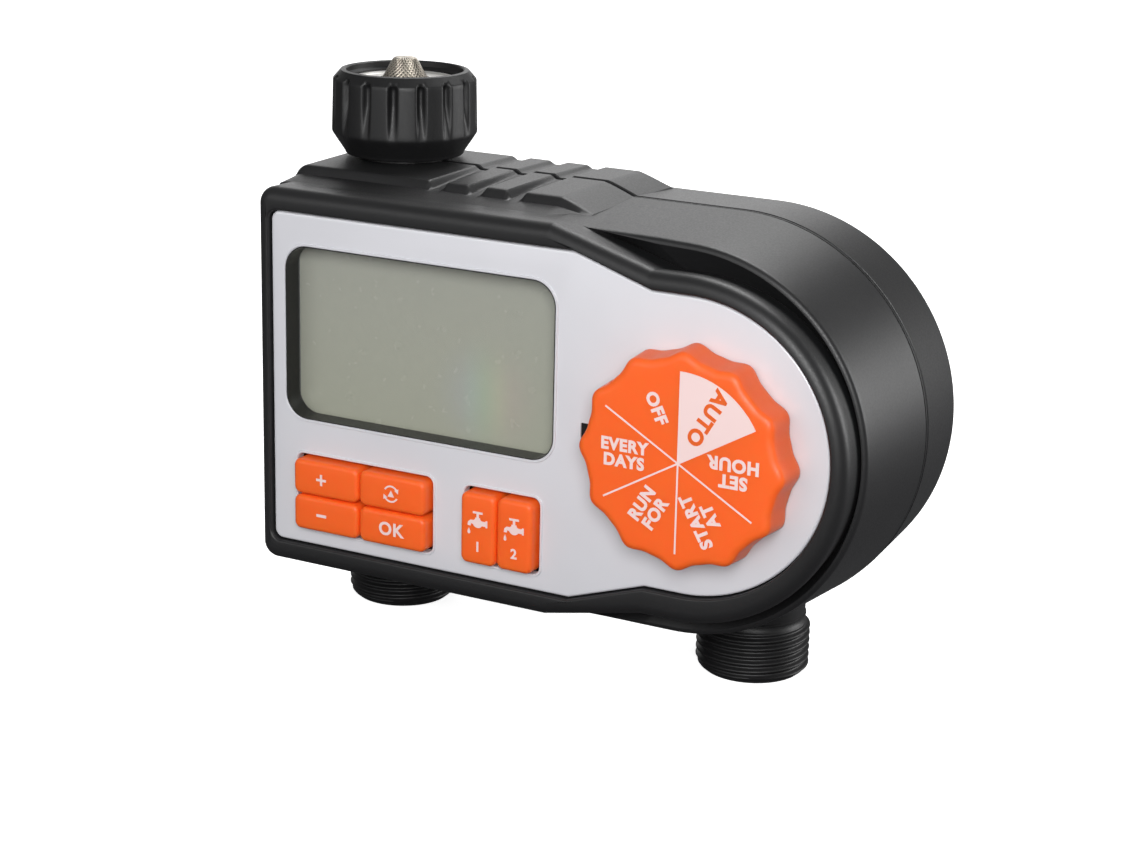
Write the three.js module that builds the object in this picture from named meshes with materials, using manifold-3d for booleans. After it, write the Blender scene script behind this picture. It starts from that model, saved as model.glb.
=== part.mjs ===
// Two-outlet tap timer for drip irrigation.
// Millimetres, +Z up, the face looks towards -Y. Every piece is drawn in the frame of the face: its origin
// is the centre of the face panel's round end, on the panel's front plane. The last lines move the whole
// group, so that it stands on its outlets with the origin in the middle of its base.
import * as THREE from 'three';
import { mergeVertices } from 'three/addons/utils/BufferGeometryUtils.js';
import Module from 'manifold-3d';

const wasm = await Module();
wasm.setup();

// Driving dimensions
const gap = 0.3;             // running and seating gap between neighbours
const wall = 2.5;            // case wall
const caseLeft = -110.6;
const roundX = -5.5;         // centre of the case's round end
const roundZ = -1.4;
const stepRadius = 44.0;     // round end at the step behind the rim
const seamRadius = 46.4;     // round end at the case joint
const rearRadius = 45.3;     // round end at the rear edge
const rimFront = -1.2;
const stepY = 7.6;
const seamY = 37.5;
const seamGap = 0.35;
const rearEdgeY = 57;
const backY = 59.5;
const blockTop = 47.5;       // grooved block on top of the case
const blockFrontY = 15;
const blockRight = -40.2;
const blockFoot = -32;

// Each outline runs straight along the top, slopes in, and ends in a half circle about roundAt
const face = {
  left: -107.15,
  half: 39.6,
  corner: 2.3,
  slopeStart: -27.8,
  slopeEnd: -9,
  round: 33.4,
  roundAt: [0, 0],
};
const rim = {
  left: caseLeft,
  half: 44.9,
  corner: 4,
  slopeStart: -33.9,
  slopeEnd: -9.6,
  round: 38.9,
  roundAt: [-1.6, -1.2],
};
const panelThickness = 2.2;

const displayWindow = { x0: -103, x1: -32.5, z0: -8.75, z1: 31.85, corner: 5.5 };
const fourKeyOpening = { x0: -100, x1: -63.3, z0: -35.5, z1: -17.6 };
const twoKeyOpening = { x0: -54.6, x1: -35.4, z0: -35.5, z1: -17.9 };
const keyOpeningCorner = 1.6;
const keyGap = 0.4;
const keyProud = 3;

const dialX = 2.5;
const dialZ = -0.8;
const dialPeak = 24.6;
const dialValley = 23.2;
const dialLobes = 12;
const dialHeight = 9;
const shaftRadius = 3;

const boardFront = 11.5;
const boardThickness = 1.6;

const inletX = -94.8;
const secondX = 1.2;
const pipeY = 38;            // inlet and outlets stand in one row on the case joint
const outletX = [inletX, secondX];
const pipeOuter = 10.5;
const pipeBore = 7.5;
const outletBottom = -62.7;
const threadRadius = 13.22;  // G3/4 outside thread
const threadPitch = 1.814;
const threadTurns = 6;
const nutBottom = 48.6;
const nutTop = 68.6;
const nutRadius = 17.3;
const nutOpening = 13.9;
const nutFlutes = 16;
const filterTop = 71.4;
const neckRadius = 11.9;

const smooth = 32;           // sides of large round pieces
const plain = 20;            // sides of small round pieces

const group = new THREE.Group();

// Looks
const finishes = {
  caseBlack: { color: 0x26272a, roughness: 0.5, metalness: 0 },
  nutBlack: { color: 0x1d1e20, roughness: 0.45, metalness: 0 },
  silver: { color: 0xd3d3d8, roughness: 0.4, metalness: 0.1 },
  orange: { color: 0xfa622d, roughness: 0.42, metalness: 0 },
  frameBlack: { color: 0x121316, roughness: 0.5, metalness: 0 },
  display: { color: 0x9a9b8c, roughness: 0.25, metalness: 0 },
  clear: { color: 0xe8ecec, roughness: 0.05, metalness: 0 },
  rubber: { color: 0x202020, roughness: 0.8, metalness: 0 },
  steel: { color: 0xb8b2a6, roughness: 0.35, metalness: 1 },
  brass: { color: 0xb08d57, roughness: 0.35, metalness: 1 },
  board: { color: 0x1f6b3a, roughness: 0.5, metalness: 0 },
  innerWhite: { color: 0xe4e2dc, roughness: 0.5, metalness: 0 },
  battery: { color: 0x4b6fa8, roughness: 0.35, metalness: 0.2 },
};

function add(name, geometry, finish) {
  const mesh = new THREE.Mesh(geometry, new THREE.MeshStandardMaterial(finishes[finish]));
  mesh.name = name;
  group.add(mesh);
  return mesh;
}

// Joining and cutting
function solidOf(geometry) {
  const bare = geometry.clone();
  bare.deleteAttribute('normal');
  bare.deleteAttribute('uv');
  const merged = mergeVertices(bare, 1e-4);
  const vertProperties = new Float32Array(merged.attributes.position.array);
  const triVerts = new Uint32Array(merged.index.array);
  return new wasm.Manifold(new wasm.Mesh({ numProp: 3, vertProperties, triVerts }));
}

function geometryOf(solid) {
  const mesh = solid.getMesh();
  const geometry = new THREE.BufferGeometry();
  geometry.setAttribute('position', new THREE.BufferAttribute(mesh.vertProperties, mesh.numProp));
  geometry.setIndex(new THREE.BufferAttribute(mesh.triVerts, 1));
  geometry.computeVertexNormals();
  return geometry;
}

function shape3d(first, { join = [], cut = [] }) {
  let solid = solidOf(first);
  for (const piece of join) {
    solid = solid.add(solidOf(piece));
  }
  for (const piece of cut) {
    solid = solid.subtract(solidOf(piece));
  }
  return geometryOf(solid);
}

// Simple solids, each given by where it starts and ends
function box(x0, x1, y0, y1, z0, z1) {
  const geometry = new THREE.BoxGeometry(x1 - x0, y1 - y0, z1 - z0);
  return geometry.translate((x0 + x1) / 2, (y0 + y1) / 2, (z0 + z1) / 2);
}

function alongZ(x, y, radius, z0, z1, sides = plain) {
  const geometry = new THREE.CylinderGeometry(radius, radius, z1 - z0, sides);
  return geometry.rotateX(Math.PI / 2).translate(x, y, (z0 + z1) / 2);
}

function alongY(x, z, radius, y0, y1, sides = plain) {
  const geometry = new THREE.CylinderGeometry(radius, radius, y1 - y0, sides);
  return geometry.translate(x, (y0 + y1) / 2, z);
}

function alongX(y, z, radius, x0, x1, sides = plain) {
  const geometry = new THREE.CylinderGeometry(radius, radius, x1 - x0, sides);
  return geometry.rotateZ(Math.PI / 2).translate((x0 + x1) / 2, y, z);
}

// A profile of [radius, height] pairs turned about a vertical axis
function turned(profile, x, y, sides = plain) {
  const points = profile.map(([r, h]) => new THREE.Vector2(r, h));
  return new THREE.LatheGeometry(points, sides).rotateX(Math.PI / 2).translate(x, y, 0);
}

// An outline drawn in X and Z, carried from one depth to another
function plate(outline, y0, y1, edge = 0, edgeSteps = 1) {
  const geometry = new THREE.ExtrudeGeometry(new THREE.Shape(outline), {
    depth: y1 - y0 - 2 * edge,
    bevelEnabled: edge > 0,
    bevelThickness: edge,
    bevelSize: edge,
    bevelOffset: -edge,
    bevelSegments: edgeSteps,
  });
  return geometry.rotateX(Math.PI / 2).translate(0, y1 - edge, 0);
}

// Two outlines with as many points each, joined by straight sides and closed by flat ends
function loft(front, y0, rear, y1) {
  const count = front.length;
  const positions = [];
  front.forEach((p) => positions.push(p.x, y0, p.y));
  rear.forEach((p) => positions.push(p.x, y1, p.y));
  const index = [];
  for (let i = 0; i < count; i += 1) {
    const j = (i + 1) % count;
    index.push(i, count + j, j, i, count + i, count + j);
  }
  for (const [a, b, c] of THREE.ShapeUtils.triangulateShape(front, [])) {
    index.push(a, b, c);
  }
  for (const [a, b, c] of THREE.ShapeUtils.triangulateShape(rear, [])) {
    index.push(count + a, count + c, count + b);
  }
  const geometry = new THREE.BufferGeometry();
  geometry.setAttribute('position', new THREE.Float32BufferAttribute(positions, 3));
  geometry.setIndex(index);
  return geometry;
}

// Outlines, as points going round anticlockwise when seen from the front
function arc(x, z, radius, start, end, steps) {
  return Array.from({ length: steps + 1 }, (_, i) => {
    const angle = start + ((end - start) * i) / steps;
    return new THREE.Vector2(x + radius * Math.cos(angle), z + radius * Math.sin(angle));
  });
}

const quarter = Math.PI / 2;
const endSteps = 24;
const cornerSteps = 3;

function roundedBox({ x0, x1, z0, z1 }, corner, grow = 0) {
  const [left, right, low, high] = [x0 - grow, x1 + grow, z0 - grow, z1 + grow];
  return [
    ...arc(right - corner, low + corner, corner, -quarter, 0, cornerSteps),
    ...arc(right - corner, high - corner, corner, 0, quarter, cornerSteps),
    ...arc(left + corner, high - corner, corner, quarter, 2 * quarter, cornerSteps),
    ...arc(left + corner, low + corner, corner, 2 * quarter, 3 * quarter, cornerSteps),
  ];
}

// The face's outline: tall at the left, sloping in to a half circle at the right
function faceOutline(dims, grow = 0) {
  const { left, half, corner, slopeStart, slopeEnd, round, roundAt } = dims;
  const [middleX, middleZ] = roundAt;
  const top = half + grow;
  const radius = round + grow;
  const bend = Math.max(corner + grow, 0.8);
  const cornerX = left - grow + bend;
  return [
    ...arc(middleX, middleZ, radius, -quarter, quarter, endSteps),
    new THREE.Vector2(slopeEnd, middleZ + radius),
    new THREE.Vector2(slopeStart, top),
    ...arc(cornerX, top - bend, bend, quarter, 2 * quarter, cornerSteps),
    ...arc(cornerX, bend - top, bend, 2 * quarter, 3 * quarter, cornerSteps),
    new THREE.Vector2(slopeStart, -top),
    new THREE.Vector2(slopeEnd, middleZ - radius),
  ];
}

// The case behind the rim: a long box whose right end is a half circle, flat above and below
function caseOutline(radius, inset = 0) {
  const corner = 4 - inset;
  const r = radius - inset;
  const cornerX = caseLeft + inset + corner;
  return [
    ...arc(roundX, roundZ, r, -quarter, quarter, endSteps),
    ...arc(cornerX, roundZ + r - corner, corner, quarter, 2 * quarter, cornerSteps),
    ...arc(cornerX, roundZ - r + corner, corner, 2 * quarter, 3 * quarter, cornerSteps),
  ];
}

// The block on top of the case, with its sloping right end
function topBlock(y0, y1) {
  const corner = 3;
  const base = 40;
  const outline = [
    new THREE.Vector2(caseLeft, base),
    new THREE.Vector2(blockFoot, base),
    new THREE.Vector2(blockFoot, roundZ + seamRadius - 0.2),
    new THREE.Vector2(blockRight, blockTop),
    ...arc(caseLeft + corner, blockTop - corner, corner, quarter, 2 * quarter, cornerSteps),
  ];
  return plate(outline, y0, y1);
}

// Three finger grooves run from front to back over the block
const grooveLeft = -74.5;
const groovePitch = 10.2;
const grooveTopWidth = 5.2;
const grooveFloorWidth = 2.4;
const grooveDepth = 1.5;
function grooves() {
  return [0, 1, 2].map((i) => {
    const x = grooveLeft + i * groovePitch;
    const spread = (grooveTopWidth - grooveFloorWidth) / 2;
    const outline = [
      new THREE.Vector2(x + spread, blockTop - grooveDepth),
      new THREE.Vector2(x + grooveTopWidth - spread, blockTop - grooveDepth),
      new THREE.Vector2(x + grooveTopWidth + spread, blockTop + grooveDepth),
      new THREE.Vector2(x - spread, blockTop + grooveDepth),
    ];
    return plate(outline, rimFront, backY + 1);
  });
}

// Case screws: posts in the front shell, tubes in the rear shell
const postRadius = 3.6;
const screwRadius = 1.4;
const headRadius = 2.5;
const headFront = 47;
const headRear = 49.2;
const headWellRadius = 2.9;
const postPlaces = [
  [-77, 39.2],
  [-77, -41.4],
  [-20, 39],
  [-25, -41.4],
  [28.5, 18],
  [28.5, -21],
];
const postEndY = seamY - 0.4;
const tubeStartY = seamY + 0.4;

function pipeHoles(clearance) {
  const [low, high] = [-60, 60];
  return [
    alongZ(inletX, pipeY, pipeOuter + clearance, 30, high),
    alongZ(inletX, pipeY, neckRadius + clearance, low, -30),
    alongZ(secondX, pipeY, neckRadius + clearance, low, -30),
  ];
}

function frontShell() {
  const seam = seamY - seamGap / 2;
  const body = loft(caseOutline(stepRadius), stepY, caseOutline(seamRadius), seam);
  const ledge = plate(faceOutline(rim), rimFront, stepY + 4, 1.8);
  // fills the front's depth between the two outlines, where the case's round end has not begun
  const infill = box(-60, -36, stepY - 1, stepY + 5, -rim.half + 0.6, rim.half - 0.8);
  const posts = postPlaces.map(([x, z]) => alongY(x, z, postRadius, stepY + 1, postEndY, 16));
  const pilots = postPlaces.map(([x, z]) => alongY(x, z, screwRadius + 0.1, 16, seamY + 1, 12));
  const innerFront = stepY + wall;
  const cavity = loft(caseOutline(stepRadius, wall), innerFront, caseOutline(seamRadius, wall), seamY + 1);
  const shell = shape3d(body, {
    join: [ledge, infill, topBlock(blockFrontY, seam)],
    cut: [
      cavity,
      plate(faceOutline(rim, -2.6), panelThickness + 3, innerFront + 0.1),
      plate(faceOutline(face, gap), rimFront - 1, panelThickness + 0.3),
      plate(faceOutline(face, -2), 0, panelThickness + 4),
    ],
  });
  return shape3d(shell, { join: posts, cut: [...pilots, ...pipeHoles(gap), ...grooves()] });
}

const doorOpening = { x0: -60, x1: 6, z0: -6, z1: 32 };
const doorCorner = 4;
const sealWidth = 0.8;

function rearShell() {
  const seam = seamY + seamGap / 2;
  const body = loft(caseOutline(seamRadius), seam, caseOutline(rearRadius), rearEdgeY);
  const back = loft(caseOutline(rearRadius), rearEdgeY - 0.01, caseOutline(rearRadius, 2.4), backY);
  const block = topBlock(seam, rearEdgeY - 1);
  const cavity = loft(caseOutline(seamRadius, wall), seam - 1, caseOutline(rearRadius, wall), backY - wall);
  const tubes = postPlaces.map(([x, z]) => alongY(x, z, postRadius, tubeStartY, backY - 1, 16));
  const holes = postPlaces.map(([x, z]) => alongY(x, z, screwRadius + gap, seamY, backY + 1, 12));
  const headWells = postPlaces.map(([x, z]) => alongY(x, z, headWellRadius, headFront - 1, backY + 1, 12));
  const collar = plate(roundedBox(doorOpening, doorCorner, 1.6), backY - 5, backY - 1);
  const shell = shape3d(body, { join: [back, block], cut: [cavity] });
  return shape3d(shell, {
    join: [...tubes, collar],
    cut: [
      ...holes,
      ...headWells,
      plate(roundedBox(doorOpening, doorCorner), backY - 6, backY + 1),
      plate(roundedBox(doorOpening, doorCorner, 2.4), backY - 1.6, backY + 1),
      ...pipeHoles(gap),
      ...grooves(),
    ],
  });
}

function caseScrew([x, z]) {
  const shank = alongY(x, z, screwRadius - 0.2, 20, headFront + 0.5, 12);
  const head = alongY(x, z, headRadius, headFront, headRear, 12);
  return shape3d(shank, { join: [head] });
}

// Face
function facePanel() {
  const plateSolid = plate(faceOutline(face), 0, panelThickness, 0.5, 1);
  return shape3d(plateSolid, {
    cut: [
      plate(roundedBox(displayWindow, displayWindow.corner), -1, panelThickness + 1),
      plate(roundedBox(fourKeyOpening, keyOpeningCorner), -1, panelThickness + 1),
      plate(roundedBox(twoKeyOpening, keyOpeningCorner), -1, panelThickness + 1),
      alongY(dialX, dialZ, shaftRadius + 1, -1, panelThickness + 1),
    ],
  });
}

const frameFront = panelThickness + gap;
const frameRear = boardFront - gap;
const lensFront = 5;
const lensRear = 6;
const glassFront = lensRear + gap;
const glassRear = 8.8;
const pocket = 0.9;
function displayFrame() {
  const outer = plate(roundedBox(displayWindow, 3, 1.7), frameFront, frameRear);
  return shape3d(outer, {
    cut: [
      plate(roundedBox(displayWindow, displayWindow.corner), frameFront - 1, lensFront),
      plate(roundedBox(displayWindow, 1, pocket), lensFront - gap, frameRear + 1),
    ],
  });
}

function dialOutline() {
  const points = [];
  const stepsPerLobe = 4;
  const count = dialLobes * stepsPerLobe;
  const middle = (dialPeak + dialValley) / 2;
  const swing = (dialPeak - dialValley) / 2;
  for (let i = 0; i < count; i += 1) {
    const angle = (i / count) * Math.PI * 2;
    const radius = middle + swing * Math.cos(dialLobes * angle);
    points.push(new THREE.Vector2(radius * Math.cos(angle), radius * Math.sin(angle)));
  }
  return points;
}

const knobRear = -0.5;
function dialKnob() {
  const knob = plate(dialOutline(), -dialHeight, knobRear, 1.6);
  const ring = new THREE.LatheGeometry(
    [[7, 0], [20, 0], [20, 5.5], [7, 5.5], [7, 0]].map(([r, h]) => new THREE.Vector2(r, h)),
    plain,
  );
  ring.translate(0, -5.5, 0);
  const bore = alongY(0, 0, shaftRadius + gap, -6.8, 1);
  return shape3d(knob, { cut: [ring, bore] }).translate(dialX, 0, dialZ);
}

function dialShaft() {
  const shaft = alongY(dialX, dialZ, shaftRadius, -6.5, 8.4);
  const flat = box(dialX - 5, dialX + 5, -7, 0.2, dialZ + 2, dialZ + 5);
  return shape3d(shaft, { cut: [flat] });
}

function rotarySwitch() {
  const half = 11;
  const body = box(dialX - half, dialX + half, 4, frameRear, dialZ - half, dialZ + half);
  return shape3d(body, { cut: [alongY(dialX, dialZ, shaftRadius + gap, 3, 8.7)] });
}

// Keys: a cap that stands out of the face, a foot that stops it behind the panel, a stem to its switch
const stemEnd = 7.6;
const stemRadius = 1.6;
function keyCap({ x0, x1, z0, z1 }, outX, outZ) {
  const cap = plate(roundedBox({ x0, x1, z0, z1 }, 1), -keyProud, panelThickness + 1.8, 0.7);
  const inset = 0.6;
  const [left, right] = [x0 + inset + outX, x1 - inset + outX];
  const [low, high] = [z0 + inset + outZ, z1 - inset + outZ];
  const foot = box(left, right, panelThickness + 0.4, panelThickness + 1.6, low, high);
  const stem = alongY((x0 + x1) / 2, (z0 + z1) / 2, stemRadius, panelThickness, stemEnd, 12);
  return shape3d(cap, { join: [foot, stem] });
}

function keyPlaces() {
  const four = fourKeyOpening;
  const width = (four.x1 - four.x0 - 3 * keyGap) / 2;
  const height = (four.z1 - four.z0 - 3 * keyGap) / 2;
  const places = {};
  const names = [['key_minus', 'key_ok'], ['key_plus', 'key_cycle']];
  names.forEach((row, up) => row.forEach((name, right) => {
    const x0 = four.x0 + keyGap + right * (width + keyGap);
    const z0 = four.z0 + keyGap + up * (height + keyGap);
    const area = { x0, x1: x0 + width, z0, z1: z0 + height };
    places[name] = { area, outX: right * 2 - 1, outZ: up * 2 - 1 };
  }));
  const two = twoKeyOpening;
  const narrow = (two.x1 - two.x0 - 3 * keyGap) / 2;
  ['key_valve_1', 'key_valve_2'].forEach((name, right) => {
    const x0 = two.x0 + keyGap + right * (narrow + keyGap);
    const area = { x0, x1: x0 + narrow, z0: two.z0 + keyGap, z1: two.z1 - keyGap };
    places[name] = { area, outX: right * 2 - 1, outZ: 0 };
  });
  return places;
}

function pushSwitch({ x0, x1, z0, z1 }) {
  const [x, z] = [(x0 + x1) / 2, (z0 + z1) / 2];
  const half = 3;
  const body = box(x - half, x + half, 9.8, frameRear, z - half, z + half);
  return shape3d(body, { join: [alongY(x, z, 1.5, 9.2, 10, 12)] });
}

function controlBoard() {
  const outline = [
    new THREE.Vector2(-103, -34),
    new THREE.Vector2(-6, -34),
    new THREE.Vector2(22, -19),
    new THREE.Vector2(22, 17),
    new THREE.Vector2(-6, 34),
    new THREE.Vector2(-103, 34),
  ];
  return plate(outline, boardFront, boardFront + boardThickness);
}

// Water way
const nutLip = 53.5;
const spoutTop = 63;
const seatOuter = 12.7;      // spout flange, washer and filter rim share this radius
function inletSpout() {
  return turned([
    [pipeBore, 40.5],
    [pipeOuter, 40.5],
    [pipeOuter, 59.5],
    [seatOuter, 60],
    [seatOuter, spoutTop],
    [pipeBore, spoutTop],
    [pipeBore, 40.5],
  ], inletX, pipeY, smooth);
}

function inletNut() {
  const outside = turned([
    [10.9, nutBottom],
    [14, nutBottom],
    [nutRadius, nutBottom + 5.4],
    [nutRadius, nutTop - 1.8],
    [nutRadius - 1.6, nutTop],
    [nutOpening, nutTop],
    [13.2, nutTop - 0.7],
    [13.2, nutLip + 5.4],
    [10.9, nutLip + 5.4],
    [10.9, nutBottom],
  ], inletX, pipeY, nutFlutes * 3);
  const flutes = [];
  for (let i = 0; i < nutFlutes; i += 1) {
    const flute = new THREE.CylinderGeometry(1.5, 0.4, 14.5, 6);
    flute.rotateX(Math.PI / 2).rotateY(-0.07).translate(nutRadius + 0.35, 0, nutTop - 7);
    flute.rotateZ((i / nutFlutes) * Math.PI * 2).translate(inletX, pipeY, 0);
    flutes.push(flute);
  }
  return shape3d(outside, { cut: flutes });
}

const rimZ = 65.6;
const rimThickness = 0.8;

// A flat ring about the inlet's axis
function inletRing(inner, outer, z0, z1) {
  return turned([[inner, z0], [outer, z0], [outer, z1], [inner, z1], [inner, z0]], inletX, pipeY, smooth);
}

function inletWasher() {
  return inletRing(8, seatOuter, spoutTop + gap, rimZ - gap);
}

function filterRim() {
  return inletRing(6.4, seatOuter, rimZ, rimZ + rimThickness);
}

// The screen is a thin cone, open below, with a small flat tip
function filterScreen() {
  const [baseRadius, tipRadius, skin] = [5.9, 3, 0.5];
  const base = rimZ;
  return turned([
    [0, filterTop],
    [0, filterTop - skin],
    [tipRadius - skin, filterTop - skin],
    [baseRadius - skin, base],
    [baseRadius, base],
    [tipRadius, filterTop],
    [0, filterTop],
  ], inletX, pipeY, smooth);
}

// One moulding: the pipe down from the inlet, the gallery across, and over each outlet a valve chamber that
// opens towards the middle of the case
const valveZ = -25;
const galleryY = 29.5;
const galleryZ = -8.5;
const galleryRadius = 5;
const galleryBore = 3.6;
const feedY = 31;
const chamberRadius = 12.6;
const cupRadius = 10.4;
const seatRadius = 5.4;
const chamberNear = 8;       // where the chamber starts and ends, counted from the outlet's axis
const chamberFar = 17;
const socketLow = -39.6;
const valves = [{ x: inletX, towards: 1 }, { x: secondX, towards: -1 }];

function alongValve({ x, towards }, radius, start, end, sides = plain) {
  const ends = [x + towards * start, x + towards * end];
  return alongX(pipeY, valveZ, radius, Math.min(...ends), Math.max(...ends), sides);
}

function valveBody() {
  const cuts = [];
  const joins = [alongX(galleryY, galleryZ, galleryRadius, inletX, secondX + 3, 16)];
  for (const valve of valves) {
    const { x, towards } = valve;
    joins.push(alongZ(x, pipeY, chamberRadius, socketLow, valveZ + 8));
    joins.push(alongValve(valve, chamberRadius, chamberNear, chamberFar));
    joins.push(alongZ(x + towards * 13, feedY, 3.4, valveZ + 6, galleryZ, 12));
    const ring = alongValve(valve, cupRadius, chamberNear + 2.5, chamberFar + 1);
    const seat = alongValve(valve, seatRadius, chamberNear, chamberFar - 1.2);
    cuts.push(shape3d(ring, { cut: [seat] }));
    cuts.push(alongValve(valve, 3.6, 0, chamberFar, 16));
    cuts.push(alongZ(x, pipeY, 5, socketLow - 1, valveZ + 3, 16));
    cuts.push(alongZ(x, pipeY, 10.3, socketLow - 1, -33));
    cuts.push(alongZ(x + towards * 13, feedY, 2.2, valveZ + 6.5, galleryZ, 12));
  }
  return shape3d(alongZ(inletX, pipeY, pipeOuter, galleryZ - 9, 40.2), {
    join: joins,
    cut: [
      alongZ(inletX, pipeY, pipeBore, galleryZ - 4, 41),
      alongX(galleryY, galleryZ, galleryBore, inletX, secondX, 12),
      ...cuts,
    ],
  });
}

function outletSpigot(x) {
  const bore = 9;
  const profile = [
    [bore, outletBottom],
    [threadRadius - 1.2, outletBottom],
  ];
  const threadLow = outletBottom + 1;
  for (let i = 0; i < threadTurns; i += 1) {
    const z = threadLow + i * threadPitch;
    profile.push([threadRadius - 1, z]);
    profile.push([threadRadius, z + threadPitch / 2]);
  }
  const threadEnd = threadLow + threadTurns * threadPitch;
  profile.push([threadRadius - 0.4, threadEnd]);
  profile.push([neckRadius, threadEnd + 1.4]);
  profile.push([neckRadius, -42]);
  profile.push([12.9, -42]);
  profile.push([12.9, -40.8]);
  profile.push([10, -40.8]);
  profile.push([10, -38.9]);
  profile.push([8.9, -38.9]);
  profile.push([8.9, -36.5]);
  profile.push([10, -36.5]);
  profile.push([10, -34.4]);
  profile.push([7.4, -34.4]);
  profile.push([7.4, -43]);
  profile.push([bore, -45]);
  profile.push([bore, outletBottom]);
  const flats = [-1, 1].map((side) => {
    const start = x + side * 7;
    const end = x + side * 15;
    return box(Math.min(start, end), Math.max(start, end), pipeY - 15, pipeY + 15, -42.1, -40);
  });
  return shape3d(turned(profile, x, pipeY, 24), { cut: flats });
}

function oRing(x) {
  return new THREE.TorusGeometry(9.55, 0.45, 6, plain).translate(x, pipeY, -37.7);
}

// Valve: diaphragm over the seat, solenoid beyond it, its plunger and the spring that shuts it.
// Distances are counted from the outlet's axis towards the middle of the case.
const diaphragmStart = chamberFar - 0.8;
const diaphragmEnd = chamberFar + 0.2;
const flangeStart = chamberFar + 0.5;
const canEnd = 43;
const coilBore = 3.4;
const plungerStart = chamberFar + 0.6;
const plungerEnd = 30;
const springEnd = 36;
function diaphragm(valve) {
  return alongValve(valve, cupRadius - gap, diaphragmStart, diaphragmEnd);
}

function solenoid(valve) {
  const can = alongValve(valve, 9.5, flangeStart + 2, canEnd);
  const flange = alongValve(valve, chamberRadius, flangeStart, flangeStart + 3);
  return shape3d(can, { join: [flange], cut: [alongValve(valve, coilBore, chamberFar, springEnd + 1)] });
}

function plunger(valve) {
  const rod = alongValve(valve, 2.9, plungerStart, plungerEnd, 16);
  return shape3d(rod, { cut: [alongValve(valve, 2.1, plungerEnd - 4, plungerEnd + 1, 16)] });
}

class Coil extends THREE.Curve {
  constructor(start, end, radius, turns) {
    super();
    Object.assign(this, { start, end, radius, turns });
  }

  getPoint(t, target = new THREE.Vector3()) {
    const angle = t * this.turns * Math.PI * 2;
    const x = this.start + t * (this.end - this.start);
    return target.set(x, pipeY + this.radius * Math.cos(angle), valveZ + this.radius * Math.sin(angle));
  }
}

function plungerSpring({ x, towards }) {
  const wire = 0.25;
  const path = new Coil(x + towards * (plungerEnd - 3.4), x + towards * (springEnd + 0.4), 1.5, 5);
  return new THREE.ExtrudeGeometry(new THREE.Shape(arc(0, 0, wire, 0, 4 * quarter, 5).slice(0, 5)), {
    extrudePath: path,
    steps: 45,
    bevelEnabled: false,
  });
}

// Power: a tray behind the joint, two cells side by side, closed by a door in the back
const cellRadius = 7.2;
const cellLength = 50;
const cellY = 48;
const cellLeft = -52;
const cellZ = [20.6, 5.4];
const trayFront = 39.4;
const trayRear = 53;
const trayWall = 1.6;
const trayFloor = 1.2;
function batteryTray() {
  const { x0, x1, z0, z1 } = doorOpening;
  const out = 1.2;
  const inside = out + trayWall;
  const outer = box(x0 + out, x1 - out, trayFront, trayRear, z0 + out, z1 - out);
  const inner = box(x0 + inside, x1 - inside, trayFront + trayFloor, trayRear + 1, z0 + inside, z1 - inside);
  return shape3d(outer, { cut: [inner] });
}

function battery(z) {
  const cellRight = cellLeft + cellLength;
  const cell = alongX(cellY, z, cellRadius, cellLeft, cellRight);
  return shape3d(cell, { join: [alongX(cellY, z, 2.6, cellRight - 0.5, cellRight + 1, 16)] });
}

function contactPlate(x) {
  return box(x, x + 0.6, 41.2, 52.6, -2.5, 28.5);
}

function batteryDoor() {
  const lid = plate(roundedBox(doorOpening, doorCorner, 2.1), backY - 1.4, backY, 0.3, 1);
  const plug = plate(roundedBox(doorOpening, doorCorner, -sealWidth - 2 * gap), backY - 4, backY - 1);
  const middleX = (doorOpening.x0 + doorOpening.x1) / 2;
  const grip = box(middleX - 8, middleX + 8, backY - 0.6, backY + 1, doorOpening.z1 - 4, doorOpening.z1);
  return shape3d(lid, { join: [plug], cut: [grip] });
}

function doorSeal() {
  const [y0, y1] = [backY - 3.7, backY - 1.9];
  const outer = plate(roundedBox(doorOpening, doorCorner, -gap), y0, y1);
  const inner = plate(roundedBox(doorOpening, doorCorner, -sealWidth - gap), y0 - 1, y1 + 1);
  return shape3d(outer, { cut: [inner] });
}

// Assembly
add('front_shell', frontShell(), 'caseBlack');
add('rear_shell', rearShell(), 'caseBlack');
postPlaces.forEach((place, i) => add(`case_screw_${i + 1}`, caseScrew(place), 'steel'));
add('face_panel', facePanel(), 'silver');
add('display_frame', displayFrame(), 'frameBlack');
add('display_lens', plate(roundedBox(displayWindow, 1, pocket - gap), lensFront, lensRear), 'clear');
add('display_glass', plate(roundedBox(displayWindow, 1, pocket - gap), glassFront, glassRear), 'display');
add('display_connector', box(-100, -36, glassRear + gap, frameRear, -9.4, -7.2), 'rubber');
add('dial_knob', dialKnob(), 'orange');
add('dial_shaft', dialShaft(), 'steel');
add('rotary_switch', rotarySwitch(), 'frameBlack');
for (const [name, { area, outX, outZ }] of Object.entries(keyPlaces())) {
  add(name, keyCap(area, outX, outZ), 'orange');
  add(name.replace('key', 'switch'), pushSwitch(area), 'frameBlack');
}
add('control_board', controlBoard(), 'board');
add('control_chip', box(-30, -18, boardFront + boardThickness + gap, 16, -6, 6), 'frameBlack');
add('valve_body', valveBody(), 'innerWhite');
add('inlet_spout', inletSpout(), 'nutBlack');
add('inlet_nut', inletNut(), 'nutBlack');
add('inlet_washer', inletWasher(), 'rubber');
add('filter_rim', filterRim(), 'steel');
add('filter_screen', filterScreen(), 'steel');
outletX.forEach((x, i) => {
  add(`outlet_spigot_${i + 1}`, outletSpigot(x), 'nutBlack');
  add(`outlet_seal_${i + 1}`, oRing(x), 'rubber');
});
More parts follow.
